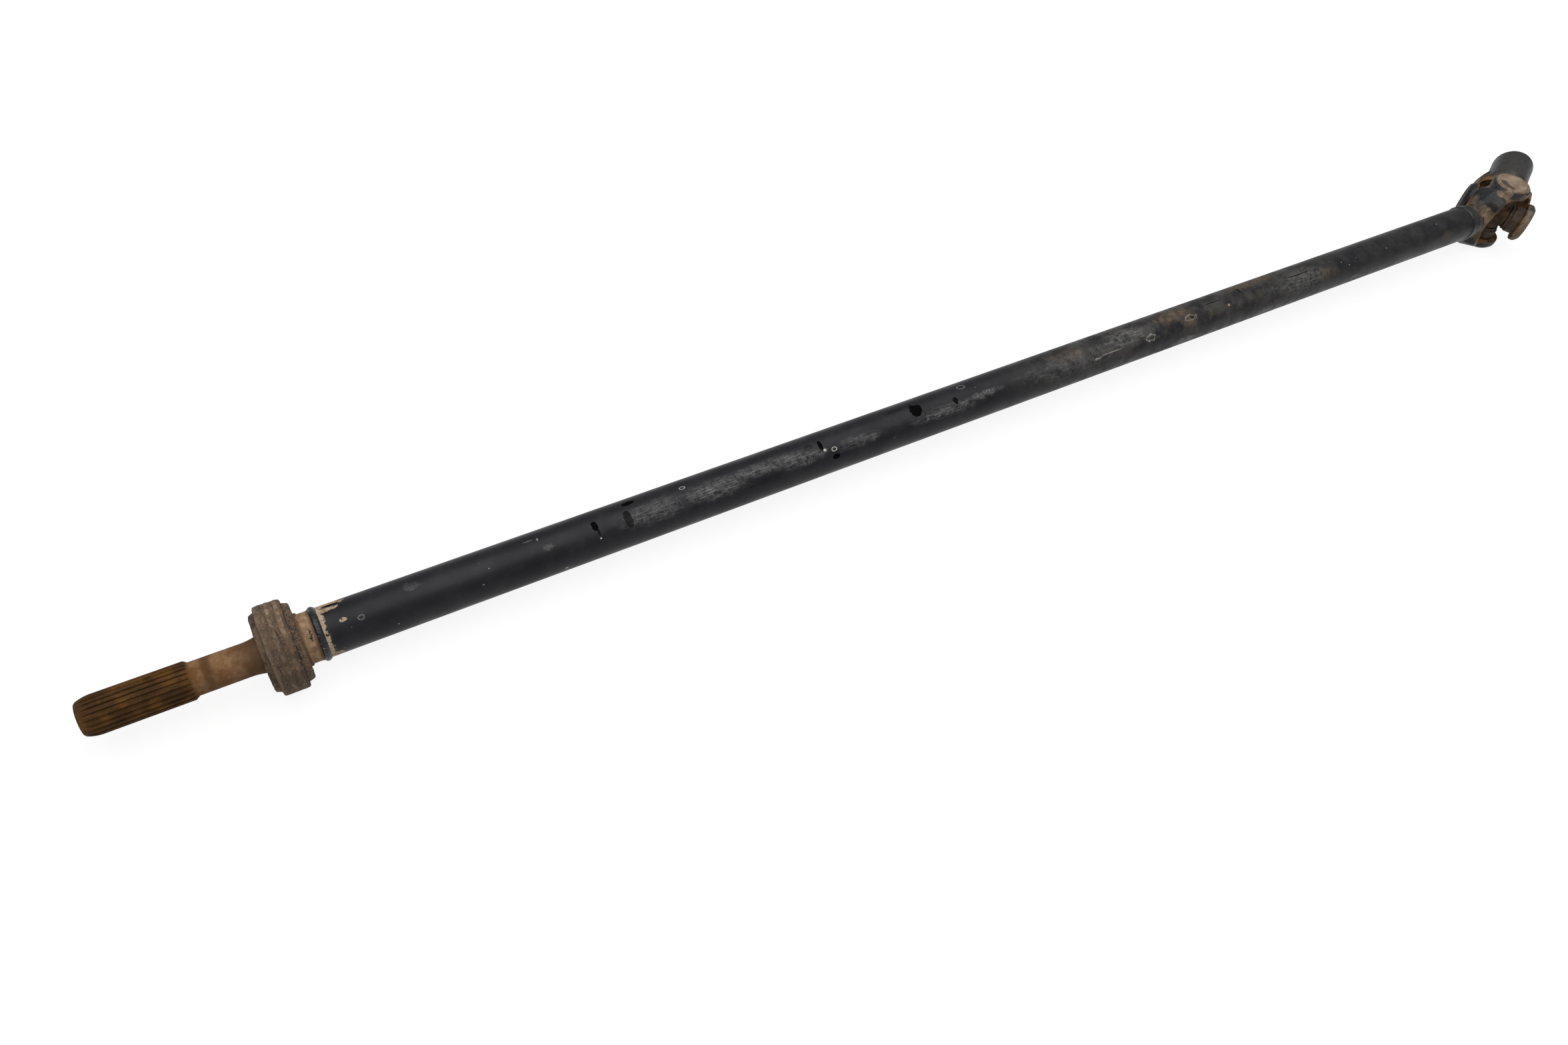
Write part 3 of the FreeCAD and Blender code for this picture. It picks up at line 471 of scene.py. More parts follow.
TUBE_MARKS: dict[Wear, tuple[tuple[float, ...], ...]] = {
    Wear.BARE: (
        (0.1714, 74, 12, 14, 2.2), (0.2429, 50, 8, 6, 2.2), (0.1571, -72, 5, 14, 1.2),
        (0.46, 12, 2.5, 4.4, 1.4), (23.8, 5, 1.8, 4, 0.9, 0.7), (28.3, 12, 0.8, 2, 0.9, 0.7),
        (28.56, -4, 0.9, 2.2, 0.9, 0.8), (32.6, 26, 1, 2.4, 1.4, 0.4)),
    Wear.DARK: (
        (0.3286, 63, 5, 4, 1.6), (5.58, 20, 2.4, 12, 0.9), (5.62, 2, 0.8, 9, 0.5, 0.8),
        (6.45, 50, 5, 7, 1.2), (6.3, 8, 3, 22, 1.4, 0.7), (10.75, 26, 4, 9, 1.2, 0.35),
        (11.03, 21, 1.8, 14, 0.2), (11.33, -21, 3.2, 7, 0.9), (13.65, 24, 6, 18, 1.6),
        (13.2, 44, 8, 6, 1.4, 0.3), (14.75, 12, 2.4, 11, 1.6, 0.9), (22.5, 8, 3.2, 7, 1.2, 0.6),
        (23.3, 30, 10, 1.4, 1.2, 0.8), (24.4, 40, 1.4, 10, 1.6, 0.7), (26.6, 22, 15, 2.2, 2.2, 0.8)),
    Wear.PALE: (
        (1.37, -42, 0.5, 1.4, 0.8, 0.5), (3.1, -22, 0.6, 1.5, 0.9, 0.4), (3.3, 9, 0.6, 1.1, 0.9, 0.4),
        (4.8, -62, 1.1, 2.4, 0.9), (4.2, 41, 3.6, 0.8, 1.2, 0.35), (4.4, 37, 0.8, 4, 1.2, 0.35),
        (5.62, -13, 0.7, 1.8, 0.9, 0.8), (11.09, 4.5, 1.3, 3.6, 0.4), (19.6, -9, 13, 1, 1.5, 0.6),
        (19.1, -14, 5, 3, 3, 0.4), (30.2, 6, 0.9, 2, 0.9, 0.3)),
    Wear.RING: (
        (0.77, 3, 2.6, 6.5, 1.3, 0.22), (7.66, 38, 2.4, 4.4, 0.9, 0.7), (11.32, -1, 2.6, 6, 0.8, 0.8),
        (15.1, 46, 4, 9, 0.8, 0.2), (20.95, -10, 6, 11, 3, 0.4), (22.4, 8, 6, 10, 2.6, 0.3)),
    Wear.SCUFF: (
        (1.8, 32, 5, 9, 2, 0.75), (4.55, 9, 3.6, 7, 2, 0.9), (6.9, 4, 24, 24, 0.8, 0.8),
        (8.35, 5, 24, 22, 0.9), (9.7, 14, 34, 15, 1, 0.9), (10.55, 0, 16, 14, 1.2),
        (12, -2, 18, 14, 1, 0.8), (14.5, -6, 30, 14, 1.1), (14.1, -9, 9, 9, 2, 1.3),
        (15.6, 2, 14, 9, 2, 1.2), (18.4, 0, 50, 30, 1.2, 0.55), (20.2, 20, 24, 26, 1.2),
        (20.3, 18, 5, 24, 2.5), (22.2, -58, 14, 12, 1.2), (25.2, -60, 10, 10, 1.2, 0.9),
        (28.9, -56, 8, 9, 1.2, 0.9), (30.1, -58, 5, 8, 1.2, 0.7), (26.6, 2, 34, 34, 1.4, 0.75)),
    Wear.HAZE: (
        (18.3, 22, 18, 20, 1.6, 0.3), (21.9, 34, 18, 18, 2, 0.9), (22.35, 4, 8, 20, 1.6, 0.7),
        (24.9, 56, 30, 14, 1.6, 0.6), (27.6, -8, 14, 16, 1.8, 0.3), (32.9, -26, 9, 14, 1.8, 0.35)),
}


@dataclass(frozen=True)
class TubePaint(Finish):
    """Worn satin blue-black paint, dirtier towards the joint."""

    name: str = "worn_tube_paint"
    paint: Colour = (0.0075, 0.0075, 0.0100)
    faded: Colour = (0.0115, 0.0112, 0.0135)
    cloudy: Colour = (0.035, 0.035, 0.036)
    fresh: Colour = (0.0020, 0.0020, 0.0022)
    film: Colour = (0.040, 0.039, 0.035)
    smear: Colour = (0.11, 0.105, 0.095)
    worn: Colour = (0.17, 0.17, 0.165)
    chip: Colour = (0.42, 0.40, 0.36)
    bare: Colour = (0.27, 0.18, 0.105)
    bleached: Colour = (0.40, 0.31, 0.23)
    mud: Colour = (0.044, 0.036, 0.027)
    dust: Colour = (0.150, 0.100, 0.060)

    def masks(self, graph: Graph, along: Value, around: Value) -> dict[Wear, Value]:
        """Join the marks of each kind into one mask.

        Args:
            graph: Graph of the material.
            along: Millimetres along the shaft.
            around: Degrees round it.

        Returns:
            A mask for each kind of wear.
        """
        joined: dict[Wear, Value] = {}
        for wear, rows in TUBE_MARKS.items():
            for mark in (TubeMark(*row) for row in rows):
                shape = graph.group("Mark", Along=along, Around=around, Centre=tube_place(mark.along),
                                    Turn=mark.around, Half_Length=mark.half_length, Half_Turn=mark.half_turn,
                                    Rag=mark.rag, Soft=wear.soft)
                mask = shape["Edge" if wear is Wear.RING else "Mask"] * mark.strength
                joined[wear] = joined[wear] | mask if wear in joined else mask
        return joined

    def specks(self, graph: Graph) -> Value:
        """Mask of a few pale specks."""
        distance = graph.result("TexVoronoi", "Distance", {"Vector": graph.place, "Scale": 120})
        return distance.fade(0.055, 0.03) * graph.math("GREATER_THAN", graph.noise(23, 2), 0.5)

    def surface(self, graph: Graph) -> Surface:
        """Paint with its marks, scuffs, specks and dirt.

        Args:
            graph: Graph of the material.

        Returns:
            The surface for the shader.
        """
        where = graph.group("Shaft map")
        along, around = where["Along"], where["Around"]
        marks = self.masks(graph, along, around)

        dirty = (along.fade(tube_place(16), tube_place(18.6))
                 * along.fade(tube_place(25), tube_place(29), 1, 0.35))
        upper = around.fade(-40, 0, 0.4, 1)
        mud = graph.patches(120, 0.4, 0.35) * dirty * 0.4
        hatch = graph.streaks(1300, 0.6, along=0.07) | graph.streaks(1100, 0.45, around=0.2)
        cloud = graph.patches(210, 0.5, 0.45)
        rub = (marks[Wear.SCUFF] * (hatch * 0.6 + cloud * 0.35)).held()
        dust = marks[Wear.HAZE] * (cloud * 0.5 + 0.25)
        strip = (graph.drift(12, 230, 5, 0.7) + along).fade(30.3, 29.6)
        bare = (strip | marks[Wear.BARE]) * (1 - graph.patches(520, 0.14, 0.06))
        dark = marks[Wear.DARK]
        base = graph.coats(
            self.paint,
            (graph.noise(14).fade(0.35, 0.7), self.faded),
            (graph.patches(60, 0.3, 0.35) * 0.2, self.cloudy),
            (graph.patches(70, 0.5, 0.35) * dirty * upper, self.film),
            (mud, self.mud),
            (graph.streaks(520, 0.4, around=0.12) * dirty * 0.25, self.smear),
            (graph.patches(85, 0.4, 0.2) * dirty * 0.6, self.paint),
            (rub * 0.85, self.worn),
            (graph.streaks(700, 0.18, along=0.05) * 0.16, self.worn),
            (self.specks(graph) * 0.4, self.chip),
            (dust, self.dust),
            (bare, graph.blend(graph.mottle(400), self.bare, self.bleached)),
            (dark, self.fresh),
            (marks[Wear.PALE] | marks[Wear.RING], self.chip))

        dull = mud | dust | bare * 0.9
        rough = (dull * 0.4 + graph.noise(40, 4).fade(0.3, 0.7, 0.4, 0.5) + dark * 0.3).held()
        relief = graph.noise(260, 5, 0.6) * 0.4 - (bare | dark) * 0.6
        return Surface(base, rough, relief, 0.00018, dark * -0.17 + 0.19)


@dataclass(frozen=True)
class StubSteel(Finish):
    """Bare steel under rust on the splines and tan dirt on the stem and collar, with painted shade on the stem near
    the bearing.
    """

    name: str = "rusty_stub"
    ochre: Colour = (0.105, 0.046, 0.011)
    brown: Colour = (0.028, 0.014, 0.006)
    rust: Colour = (0.062, 0.030, 0.011)
    groove: Colour = (0.115, 0.054, 0.016)
    tan: Colour = (0.130, 0.060, 0.023)
    pale: Colour = (0.225, 0.130, 0.066)
    shade: Colour = (0.09, 0.055, 0.03)
    collar: Colour = (0.325, 0.215, 0.130)
    collar_low: Colour = (0.185, 0.112, 0.062)
    collar_streak: Colour = (0.36, 0.25, 0.16)
    lip: Colour = (0.085, 0.048, 0.026)
    fleck: Colour = (0.016, 0.018, 0.02)

    def splines(self, graph: Graph, out: Value) -> Feed:
        """Rust that is lighter in the grooves.

        Args:
            graph: Graph of the material.
            out: Millimetres from the shaft's axis.

        Returns:
            Colour of the splines.
        """
        return graph.coats(
            self.rust,
            (graph.patches(110, 0.5, 0.4), self.ochre),
            (graph.streaks(500, 0.5, along=0.25) * 0.55, self.brown),
            (out.fade(12.7, 11.8) * 0.45, self.groove),
            (graph.patches(70, 0.42, 0.25) * 0.6, self.brown))

    def stem(self, graph: Graph, along: Value) -> Feed:
        """Dirt film with a dark ring, and painted shade that darkens it near the bearing.

        Args:
            graph: Graph of the material.
            along: Millimetres along the shaft.

        Returns:
            Colour of the stem.
        """
        return graph.coats(
            self.tan,
            (graph.patches(75, 0.45, 0.4), self.pale),
            (graph.patches(160, 0.3, 0.3) * 0.4, self.ochre),
            (along.band(-50, -46, -44, -40) * 0.6, self.rust),
            # Painted shade: the stem darkens towards the bearing.
            (along.fade(-34, -19) * 0.55, self.shade))

    def surface(self, graph: Graph) -> Surface:
        """Rust by depth on the splines, dirt films elsewhere, and painted shade on the stem near the bearing.

        Args:
            graph: Graph of the material.

        Returns:
            The surface for the shader.
        """
        where = graph.group("Shaft map")
        along = where["Along"]
        ragged = graph.drift(3, 120, 5) + along
        lip = ragged.fade(14.2, 15.2, 0.6, 0) | ragged.fade(19.2, 21.8, 0, 0.8)
        flecked = graph.group("Mark", Along=along, Around=where["Around"], Centre=18.7, Turn=6, Half_Length=1.9,
                              Half_Turn=17, Rag=1.2, Soft=0.3)["Mask"]
        collar = graph.coats(
            self.collar_low,
            (graph.noise(170, 6, 0.65).fade(0.36, 0.64), self.collar),
            (graph.streaks(420, 0.5, around=0.2) * 0.35, self.collar_streak),
            (lip, self.lip),
            (graph.patches(700, 0.42, 0.08) * flecked, self.fleck))
        base = graph.coats(
            self.splines(graph, where["Out"]),
            (along.fade(-56.5, -53), self.stem(graph, along)),
            (graph.math("GREATER_THAN", along, 8), collar))
        crust = graph.noise(330, 6, 0.65)
        return Surface(base, crust.fade(0.3, 0.7, 0.62, 0.85), crust, 0.00028, 0.1)


@dataclass(frozen=True)
class RingCrust(Finish):
    """Caked grey-brown dirt on the bearing's outer ring, in bands round it, with painted shade darkening its lower
    side.
    """

    name: str = "ring_crust"
    grey: Colour = (0.116, 0.080, 0.055)
    brown: Colour = (0.185, 0.118, 0.070)
    ridge: Colour = (0.300, 0.215, 0.145)
    dark: Colour = (0.042, 0.030, 0.023)
    rust: Colour = (0.23, 0.115, 0.055)
    pit: Colour = (0.028, 0.020, 0.015)
    grit: Colour = (0.32, 0.25, 0.18)

    def surface(self, graph: Graph) -> Surface:
        """Streaks round the ring, broken up by stains, and darkened by painted shade towards its lower side.

        Args:
            graph: Graph of the material.

        Returns:
            The surface for the shader.
        """
        where = graph.group("Shaft map")
        along, around = where["Along"], where["Around"]
        drawn = graph.result("CombineXYZ", 0, {"X": along, "Y": around * 0.075})
        coarse = graph.noise(0.30, 4, 0.6, 0.6, at=drawn)
        fine = graph.noise(1.1, 5, 0.65, 0.3, at=drawn)
        wander = graph.drift(4, 55, 3) + along
        broken = graph.noise(170, 5, 0.65).fade(0.38, 0.6)
        pale = (wander.band(-2.4, -0.9, -0.5, 0.8) | wander.band(3.2, 4.2, 5.8, 7)) * broken
        base = graph.coats(
            self.dark,
            (coarse.fade(0.34, 0.58), self.grey),
            (fine.fade(0.42, 0.66), self.brown),
            (wander.fade(-5.2, -8.4) * 0.5, self.ridge),
            (pale * 0.85, self.ridge),
            (wander.fade(7.2, 8.2) * 0.75, self.dark),
            (graph.patches(62, 0.4, 0.4) * 0.62, self.dark),
            (graph.patches(240, 0.25, 0.2) * along.fade(0, 3, 0.2, 0.6), self.rust),
            # Painted shade: the ring turns darker below the side that faces the camera.
            (around.fade(-10, 40, 0.32, 0), self.dark),
            (graph.patches(700, 0.25, 0.12) * 0.4, self.pit),
            (graph.patches(900, 0.22, 0.15) * 0.25, self.grit))
        crust = graph.noise(420, 8, 0.7) * 0.5 + (coarse * 0.9 + fine * 0.7)
        return Surface(base, crust.fade(0.6, 1.4, 0.75, 0.95), crust, 0.0008, 0.2)


@dataclass(frozen=True)
class DirtSpot:
    """A patch of dirt about a point: millimetres from the joint's middle, and radius."""

    x: float
    y: float
    z: float
    radius: float
    strength: float = 1.0


TUBE_YOKE_DIRT = (
    DirtSpot(-38.9, -7.3, 14.1, 6.5), DirtSpot(-36.6, -12.8, 9.8, 5.5), DirtSpot(-42, -4.8, 18.5, 4, 0.8),
    DirtSpot(-36.6, 9.6, 18, 5, 0.8), DirtSpot(-44, 11, -20, 6, 0.6),
    DirtSpot(-38, 9, -14, 6.5, 0.7), DirtSpot(-38, -9, -14, 5, 0.5),
    DirtSpot(-24.5, -5, 32.5, 5.5, 0.9), DirtSpot(-19, -8.8, 32, 5.5, 0.9),
    DirtSpot(-4, -19, 31, 4, 0.4),
)


@dataclass(frozen=True)
class ForkPaint(Finish):
    """Satin black paint on a forged fork, with dirt in its hollows and rust inside."""

    name: str = "fork_paint"
    paint: Colour = (0.0125, 0.0135, 0.0155)
    haze: Colour = (0.040, 0.036, 0.032)
    scuff: Colour = (0.08, 0.07, 0.06)
    dirt: Colour = (0.150, 0.098, 0.060)
    rust: Colour = (0.150, 0.076, 0.029)
    deep: Colour = (0.028, 0.017, 0.010)

    def painted(self, graph: Graph) -> Feed:
        """Black paint with a brown haze."""
        return graph.coats(self.paint, (graph.patches(55, 0.45, 0.45) * 0.6, self.haze),
                           (graph.patches(200, 0.2, 0.3) * 0.2, self.scuff))

    def rusty(self, graph: Graph) -> Value:
        """Orange rust with darker patches."""
        return graph.blend(graph.patches(120, 0.38, 0.35), self.rust, self.deep)

    def finish(self, graph: Graph, base: Feed, dull: Value) -> Surface:
        """Add the skin of a forging.

        Args:
            graph: Graph of the material.
            base: Colour.
            dull: Mask of dirt or rust.

        Returns:
            The surface.
        """
        skin = graph.noise(300, 5, 0.6)
        rough = (dull * 0.42 + skin.fade(0.3, 0.7, 0.38, 0.5)).held()
        return Surface(base, rough, skin, 0.0002, 0.22)


@dataclass(frozen=True)
class TubeYokePaint(ForkPaint):
    """Finish of the tube yoke."""

    name: str = "tube_yoke_paint"
    tan: Colour = (0.26, 0.195, 0.145)

    def throat(self, graph: Graph, x: Value, y: Value, rise: Value, ragged: Value) -> tuple[Value, Value]:
        """The bare throat between the ears.

        Args:
            graph: Graph of the material.
            x: Millimetres along the shaft from the joint's middle.
            y: Millimetres across it.
            rise: Millimetres up or down from the joint's middle.
            ragged: Unevenness of the paint's edge.

        Returns:
            Mask of the throat's rust, and mask of the dirty lip round it.
        """
        inside = (rise + ragged).fade(27.8, 26.6)
        curve = (1029 - graph.math("MINIMUM", rise, 30).squared()).root()
        depth = x + curve + 6.4
        flank = abs(y).fade(9, 10) * x.fade(-33.4, -34.2)
        rust = (inside - flank).held() * depth.fade(-1, -0.3)
        border = (depth + ragged).fade(-2.4, -1) * rise.fade(29.4, 27.6)
        return rust, (1 - rust) * border * 0.7

    def surface(self, graph: Graph) -> Surface:
        """Paint, dirt in the coves and under the rim, rust between the ears.

        Args:
            graph: Graph of the material.

        Returns:
            The surface for the shader.
        """
        local = graph.vector("SUBTRACT", graph.place, JOINT)
        x, y, z = (part * PER_METRE for part in graph.parts(local))
        rise = abs(z)
        from_axis = (x.squared() + y.squared()).root()
        torn = graph.patches(240, 0.85, 0.3)
        rim = rise.fade(34.7, 35.4) * from_axis.fade(18.4, 17.4)
        dull = rim * torn | x.band(-52, -49, -44, -41) * torn * 0.3
        for spot in TUBE_YOKE_DIRT:
            dull = dull | graph.spot(spot, 0.6)
        rust, lip = self.throat(graph, x, y, rise, graph.drift(9, 150) * 0.25)
        base = graph.coats(
            self.painted(graph),
            (dull * 0.9, graph.blend(graph.mottle(200), self.dirt, self.tan)),
            (lip, self.dirt),
            (rust, self.rusty(graph)))
        return self.finish(graph, base, dull | lip | rust)


@dataclass(frozen=True)
class CouplerPaint(ForkPaint):
    """Finish of the splined coupler."""

    name: str = "coupler_paint"
    paint: Colour = (0.024, 0.0235, 0.0235)
    black: Colour = (0.007, 0.007, 0.0075)
    cheek: Colour = (0.175, 0.140, 0.110)

    def surface(self, graph: Graph) -> Surface:
        """Plain dark hub, tan arms with a dark end, rust between the ears.

        Args:
            graph: Graph of the material.

        Returns:
            The surface for the shader.
        """
        where = graph.group("Joint map")
        hub, near = where["Hub"], where["Near"]
        wander = graph.drift(26, 90)
        torn = graph.patches(110, 0.55, 0.35)
        foot = (hub + wander).band(22, 32, 44, 52) * (torn * 0.5 + 0.15)
        end = wander * 0.25 + (hub + where["Lift"]) * 0.707
        cheek = near.fade(23, 26) * end.fade(13, 8) * (torn * 0.3 + 0.7)
        dull = foot | cheek
        away = near.fade(-20, -14, 0.8, 0) * hub.fade(26, 18)
        inside = (abs(near) + wander * 0.2).fade(29.5, 27) * hub.fade(38.5, 36.5)
        rusted = inside | where["Out"].fade(15.6, 15.2) * hub.fade(30, 36)
        base = graph.coats(
            self.painted(graph),
            (away, self.black),
            (dull, graph.blend(graph.mottle(180), self.dirt, self.cheek)),
            (rusted, self.rusty(graph)))
        return self.finish(graph, base, dull | rusted)


@dataclass(frozen=True)
class CapDirt(Finish):
    """Caked dirt on the closed end of a cup, with a dark crescent on one side that is partly painted shade of the
    recess wall.
    """

    name: str = "cap_dirt"
    tan: Colour = (0.185, 0.125, 0.082)
    pale: Colour = (0.27, 0.205, 0.15)
    dark: Colour = (0.022, 0.020, 0.019)
    speck: Colour = (0.06, 0.045, 0.035)
    middle: DirtSpot = DirtSpot(2.6, -1.2, 35.9, 10.6)
    west: DirtSpot = DirtSpot(-9.6, 1, 35.9, 9)

    def surface(self, graph: Graph) -> Surface:
        """Tan and grey dirt with a dark crescent towards the tube, part dark dirt and part painted shade of the
        recess wall.

        Args:
            graph: Graph of the material.

        Returns:
            The surface for the shader.
        """
        # The crescent is painted shade of the recess wall over the dirt, mixed with dark dirt.
        crescent = (1 - graph.spot(self.middle, 0.35)) * graph.spot(self.west, 0.5)
        base = graph.coats(
            self.tan,
            (graph.patches(105, 0.5, 0.4), self.pale),
            (crescent * 0.85, self.dark),
            (graph.patches(420, 0.25, 0.15) * 0.35, self.speck))
        skin = graph.noise(340, 6, 0.6)
        return Surface(base, skin.fade(0.3, 0.7, 0.66, 0.9), skin, 0.0003, 0.25)


def grit(name: str, dark: Colour, rust: Colour, sand: Colour, sandy: float) -> Patchy:
    """Dark rust with sand stuck in grease."""
    return Patchy(name, dark, (Coat(rust, 150, 0.5, 0.35), Coat(sand, 1500, sandy, 0.25, 0.4)),
                  (480, 8, 0.72), (0.6, 0.95), 0.0006, 0.25)


def bead_paint(name: str, nicked: float) -> Patchy:
    """Glossy black paint over a weld bead, nicked to pale metal."""
    coats = (Coat((0.05, 0.05, 0.052), 120, 0.4, 0.4, 0.2), Coat((0.34, 0.29, 0.22), 330, nicked, 0.08, 0.5))
    return Patchy(name, (0.010, 0.011, 0.013), coats, (300, 4, 0.55), (0.28, 0.45))


def dirty_steel(name: str, steel: Colour, film: Colour, grain: float, roughness: float, shine: float = 0.0,
                cover: float = 0.5, depth: float = 0.0002) -> Patchy:
    """Steel under a film of dirt or rust.

    Args:
        name: Name of the finish.
        steel: Colour of the steel.
        film: Colour of the film.
        grain: Fineness of the film's patches.
        roughness: Middle roughness.
        shine: How metallic the bare steel is.
        cover: Share under the film.
        depth: Relief in metres.

    Returns:
        The finish.
    """
    coats = (Coat(film, grain, cover, 0.35), Coat((0.03, 0.02, 0.014), grain * 4, 0.3, 0.2, 0.3))
    rough = (roughness - 0.1, roughness + 0.12)
    return Patchy(name, steel, coats, (grain * 2.5, 6, 0.65), rough, depth, shine=shine)


def moulded(name: str, tint: Colour, roughness: float) -> Patchy:
    """Rubber or plastic with dust and a fine grain."""
    return Patchy(name, tint, (Coat((0.14, 0.10, 0.07), 160, 0.45, 0.4, 0.45),), (900, 3, 0.55),
                  (roughness, roughness + 0.15), 0.0001)


FRONT_GRIT = grit("front_grit", (0.040, 0.028, 0.020), (0.125, 0.080, 0.048), (0.28, 0.20, 0.13), 0.25)
REAR_GRIT = grit("slinger_grit", (0.030, 0.022, 0.017), (0.105, 0.060, 0.032), (0.38, 0.28, 0.19), 0.34)
STONES = grit("stones", (0.030, 0.022, 0.017), (0.105, 0.060, 0.032), (0.36, 0.27, 0.18), 0.7)
SEAL = moulded("dusty_rubber", (0.014, 0.014, 0.014), 0.65)
LIP = moulded("muddy_rubber", (0.035, 0.024, 0.016), 0.8)
CAGE = moulded("dusty_plastic", (0.11, 0.085, 0.05), 0.45)
ROLLING = dirty_steel("rolling_steel", (0.55, 0.55, 0.54), (0.20, 0.17, 0.13), 160, 0.3, 1, 0.25, 0.00004)
CROSS = dirty_steel("cross_rust", (0.095, 0.046, 0.017), (0.030, 0.018, 0.010), 120, 0.75, 0, 0.45, 0.0003)
CUP = dirty_steel("cup_film", (0.068, 0.045, 0.027), (0.034, 0.020, 0.011), 130, 0.7)
CLIP = dirty_steel("clip_film", (0.16, 0.11, 0.07), (0.06, 0.04, 0.025), 180, 0.6, 0.2)


def spin(profile: Profile, steps: int, step: float) -> Shell:
    """Turn a closed profile about X.

    Args:
        profile: Corners as millimetres along X and out from the axis.
        steps: Steps in the full turn.
        step: Longest edge of the profile, in millimetres.

    Returns:
        The closed shell.
    """
    bm = bmesh.new()
    corners = [bm.verts.new((along * MM, 0, out * MM)) for along, out in profile]
    edges = [bm.edges.new((corners[index - 1], corners[index])) for index in range(len(corners))]
    for edge in edges:
        cuts = int(edge.calc_length() / (step * MM))
        if cuts:
            bmesh.ops.subdivide_edges(bm, edges=[edge], cuts=cuts)
    bmesh.ops.spin(bm, geom=bm.verts[:] + bm.edges[:], cent=(0, 0, 0), axis=(1, 0, 0), dvec=(0, 0, 0),
                   angle=math.tau, steps=steps, use_merge=True)
    bmesh.ops.remove_doubles(bm, verts=bm.verts, dist=1e-7)
    bmesh.ops.recalc_face_normals(bm, faces=bm.faces)
    return bm


def swell(bm: Shell, amount: Callable[[Vector], float]) -> None:
    """Move each point along its normal.

    Args:
        bm: Mesh to change.
        amount: Millimetres to move the point at a place.
    """
    bm.normal_update()
    moves = [(vert, vert.normal * (amount(vert.co) * MM)) for vert in bm.verts]
    for vert, move in moves:
        vert.co += move


def rough_noise(place: Vector, size: float, seed: float, octaves: int = 4) -> float:
    """Noise between about -1 and 1 with features of a size in millimetres."""
    return noise.fractal(place / (size * MM) + Vector((seed, seed * 0.7, -seed)), 0.9, 2, octaves)


def scatter(seed: float, stir: float, span: float = 1) -> float:
    """Number from 0 to a span that looks random but is fixed by its seed."""
    return (math.sin(seed) * stir) % span


def axis_distance(place: Vector) -> float:
    """Millimetres from the shaft's axis."""
    return math.hypot(place.y, place.z) / MM


def link_new(name: str, data: bpy.types.ID) -> bpy.types.Object:
    """Put a new object with its data in the scene.

    Args:
        name: Name of the object.
        data: Its mesh, camera or light.

    Returns:
        The object.
    """
    item = bpy.data.objects.new(name, data)
    bpy.context.scene.collection.objects.link(item)
    return item


def mesh_of(name: str, bm: Shell) -> bpy.types.Mesh:
    """Turn a working mesh into a named one and free it.

    Args:
        name: Name of the mesh.
        bm: Working mesh.

    Returns:
        The named mesh.
    """
    mesh = bpy.data.meshes.new(name)
    bm.to_mesh(mesh)
    bm.free()
    return mesh


def soften(bm: Shell, verts: list[bmesh.types.BMVert], passes: int) -> None:
    """Smooth some points of a mesh a number of times."""
    for _ in range(passes):
        bmesh.ops.smooth_vert(bm, verts=verts, factor=0.5, use_axis_x=True, use_axis_y=True, use_axis_z=True)


def reforge(node: str, voxel: float, passes: int, keep: Callable[[Vector], bool]) -> Shell:
    """Copy a forging with rounded edges.

    Args:
        node: CAD node to copy.
        voxel: Size of the new faces, in millimetres.
        passes: How often its skin is smoothed; sharp points get twice as many more.
        keep: Says which places stay as they are.

    Returns:
        The new skin.
    """
    bm = bmesh.new()
    bm.from_mesh(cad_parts[node].data)
    bmesh.ops.remove_doubles(bm, verts=bm.verts, dist=1e-6)
    work = link_new(node + "_work", mesh_of(node + "_work", bm))
    cells = work.modifiers.new("cells", "REMESH")
    cells.mode = "VOXEL"
    cells.voxel_size = voxel * MM
    cells.adaptivity = 0
    fine = bpy.data.meshes.new_from_object(work.evaluated_get(bpy.context.evaluated_depsgraph_get()))
    bpy.data.objects.remove(work)
    bm = bmesh.new()
    bm.from_mesh(fine)
    soft = [vert for vert in bm.verts if not keep(vert.co)]
    soften(bm, soft, passes)
    bm.normal_update()
    sharpness = 1.12
    soften(bm, [vert for vert in soft if vert.calc_shell_factor() > sharpness], 2 * passes)
    return bm


def settle(name: str, bm: Shell, finish: Finish, body: str, slot: str, *nodes: str) -> bpy.types.Object:
    """Make a piece of the finished mesh and hang it on its body.

    Args:
        name: Name of the piece.
        bm: Its mesh, which is freed.
        finish: Its finish.
        body: CAD body that it moves with.
        slot: The record's material slot; not used.
        nodes: CAD nodes that it stands for.

    Returns:
        The piece.
    """
    for face in bm.faces:
        face.smooth = True
    mesh = mesh_of(name, bm)
    mesh.materials.append(finish.material())
    piece = link_new(name, mesh)
    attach(piece, body)
    if nodes:
        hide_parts(*nodes)
    log.info("%s: %d faces, rides on %s", name, len(mesh.polygons), body)
    return piece


def dress(finish: Finish, *nodes: str) -> None:
    """Give CAD nodes a finish.

    Args:
        finish: The finish.
        nodes: Names of the nodes.
    """
    for node in nodes:
        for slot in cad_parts[node].material_slots:
            slot.material = finish.material()
        log.info("%s: dressed in %s", node, finish.name)


@dataclass
class SplinedStub:
    """The bare steel stub with its splines, stem, journal and collar."""

    finish: Finish = StubSteel()

    def build(self) -> None:
        """Dress the stub."""
        dress(self.finish, "stub_shaft")


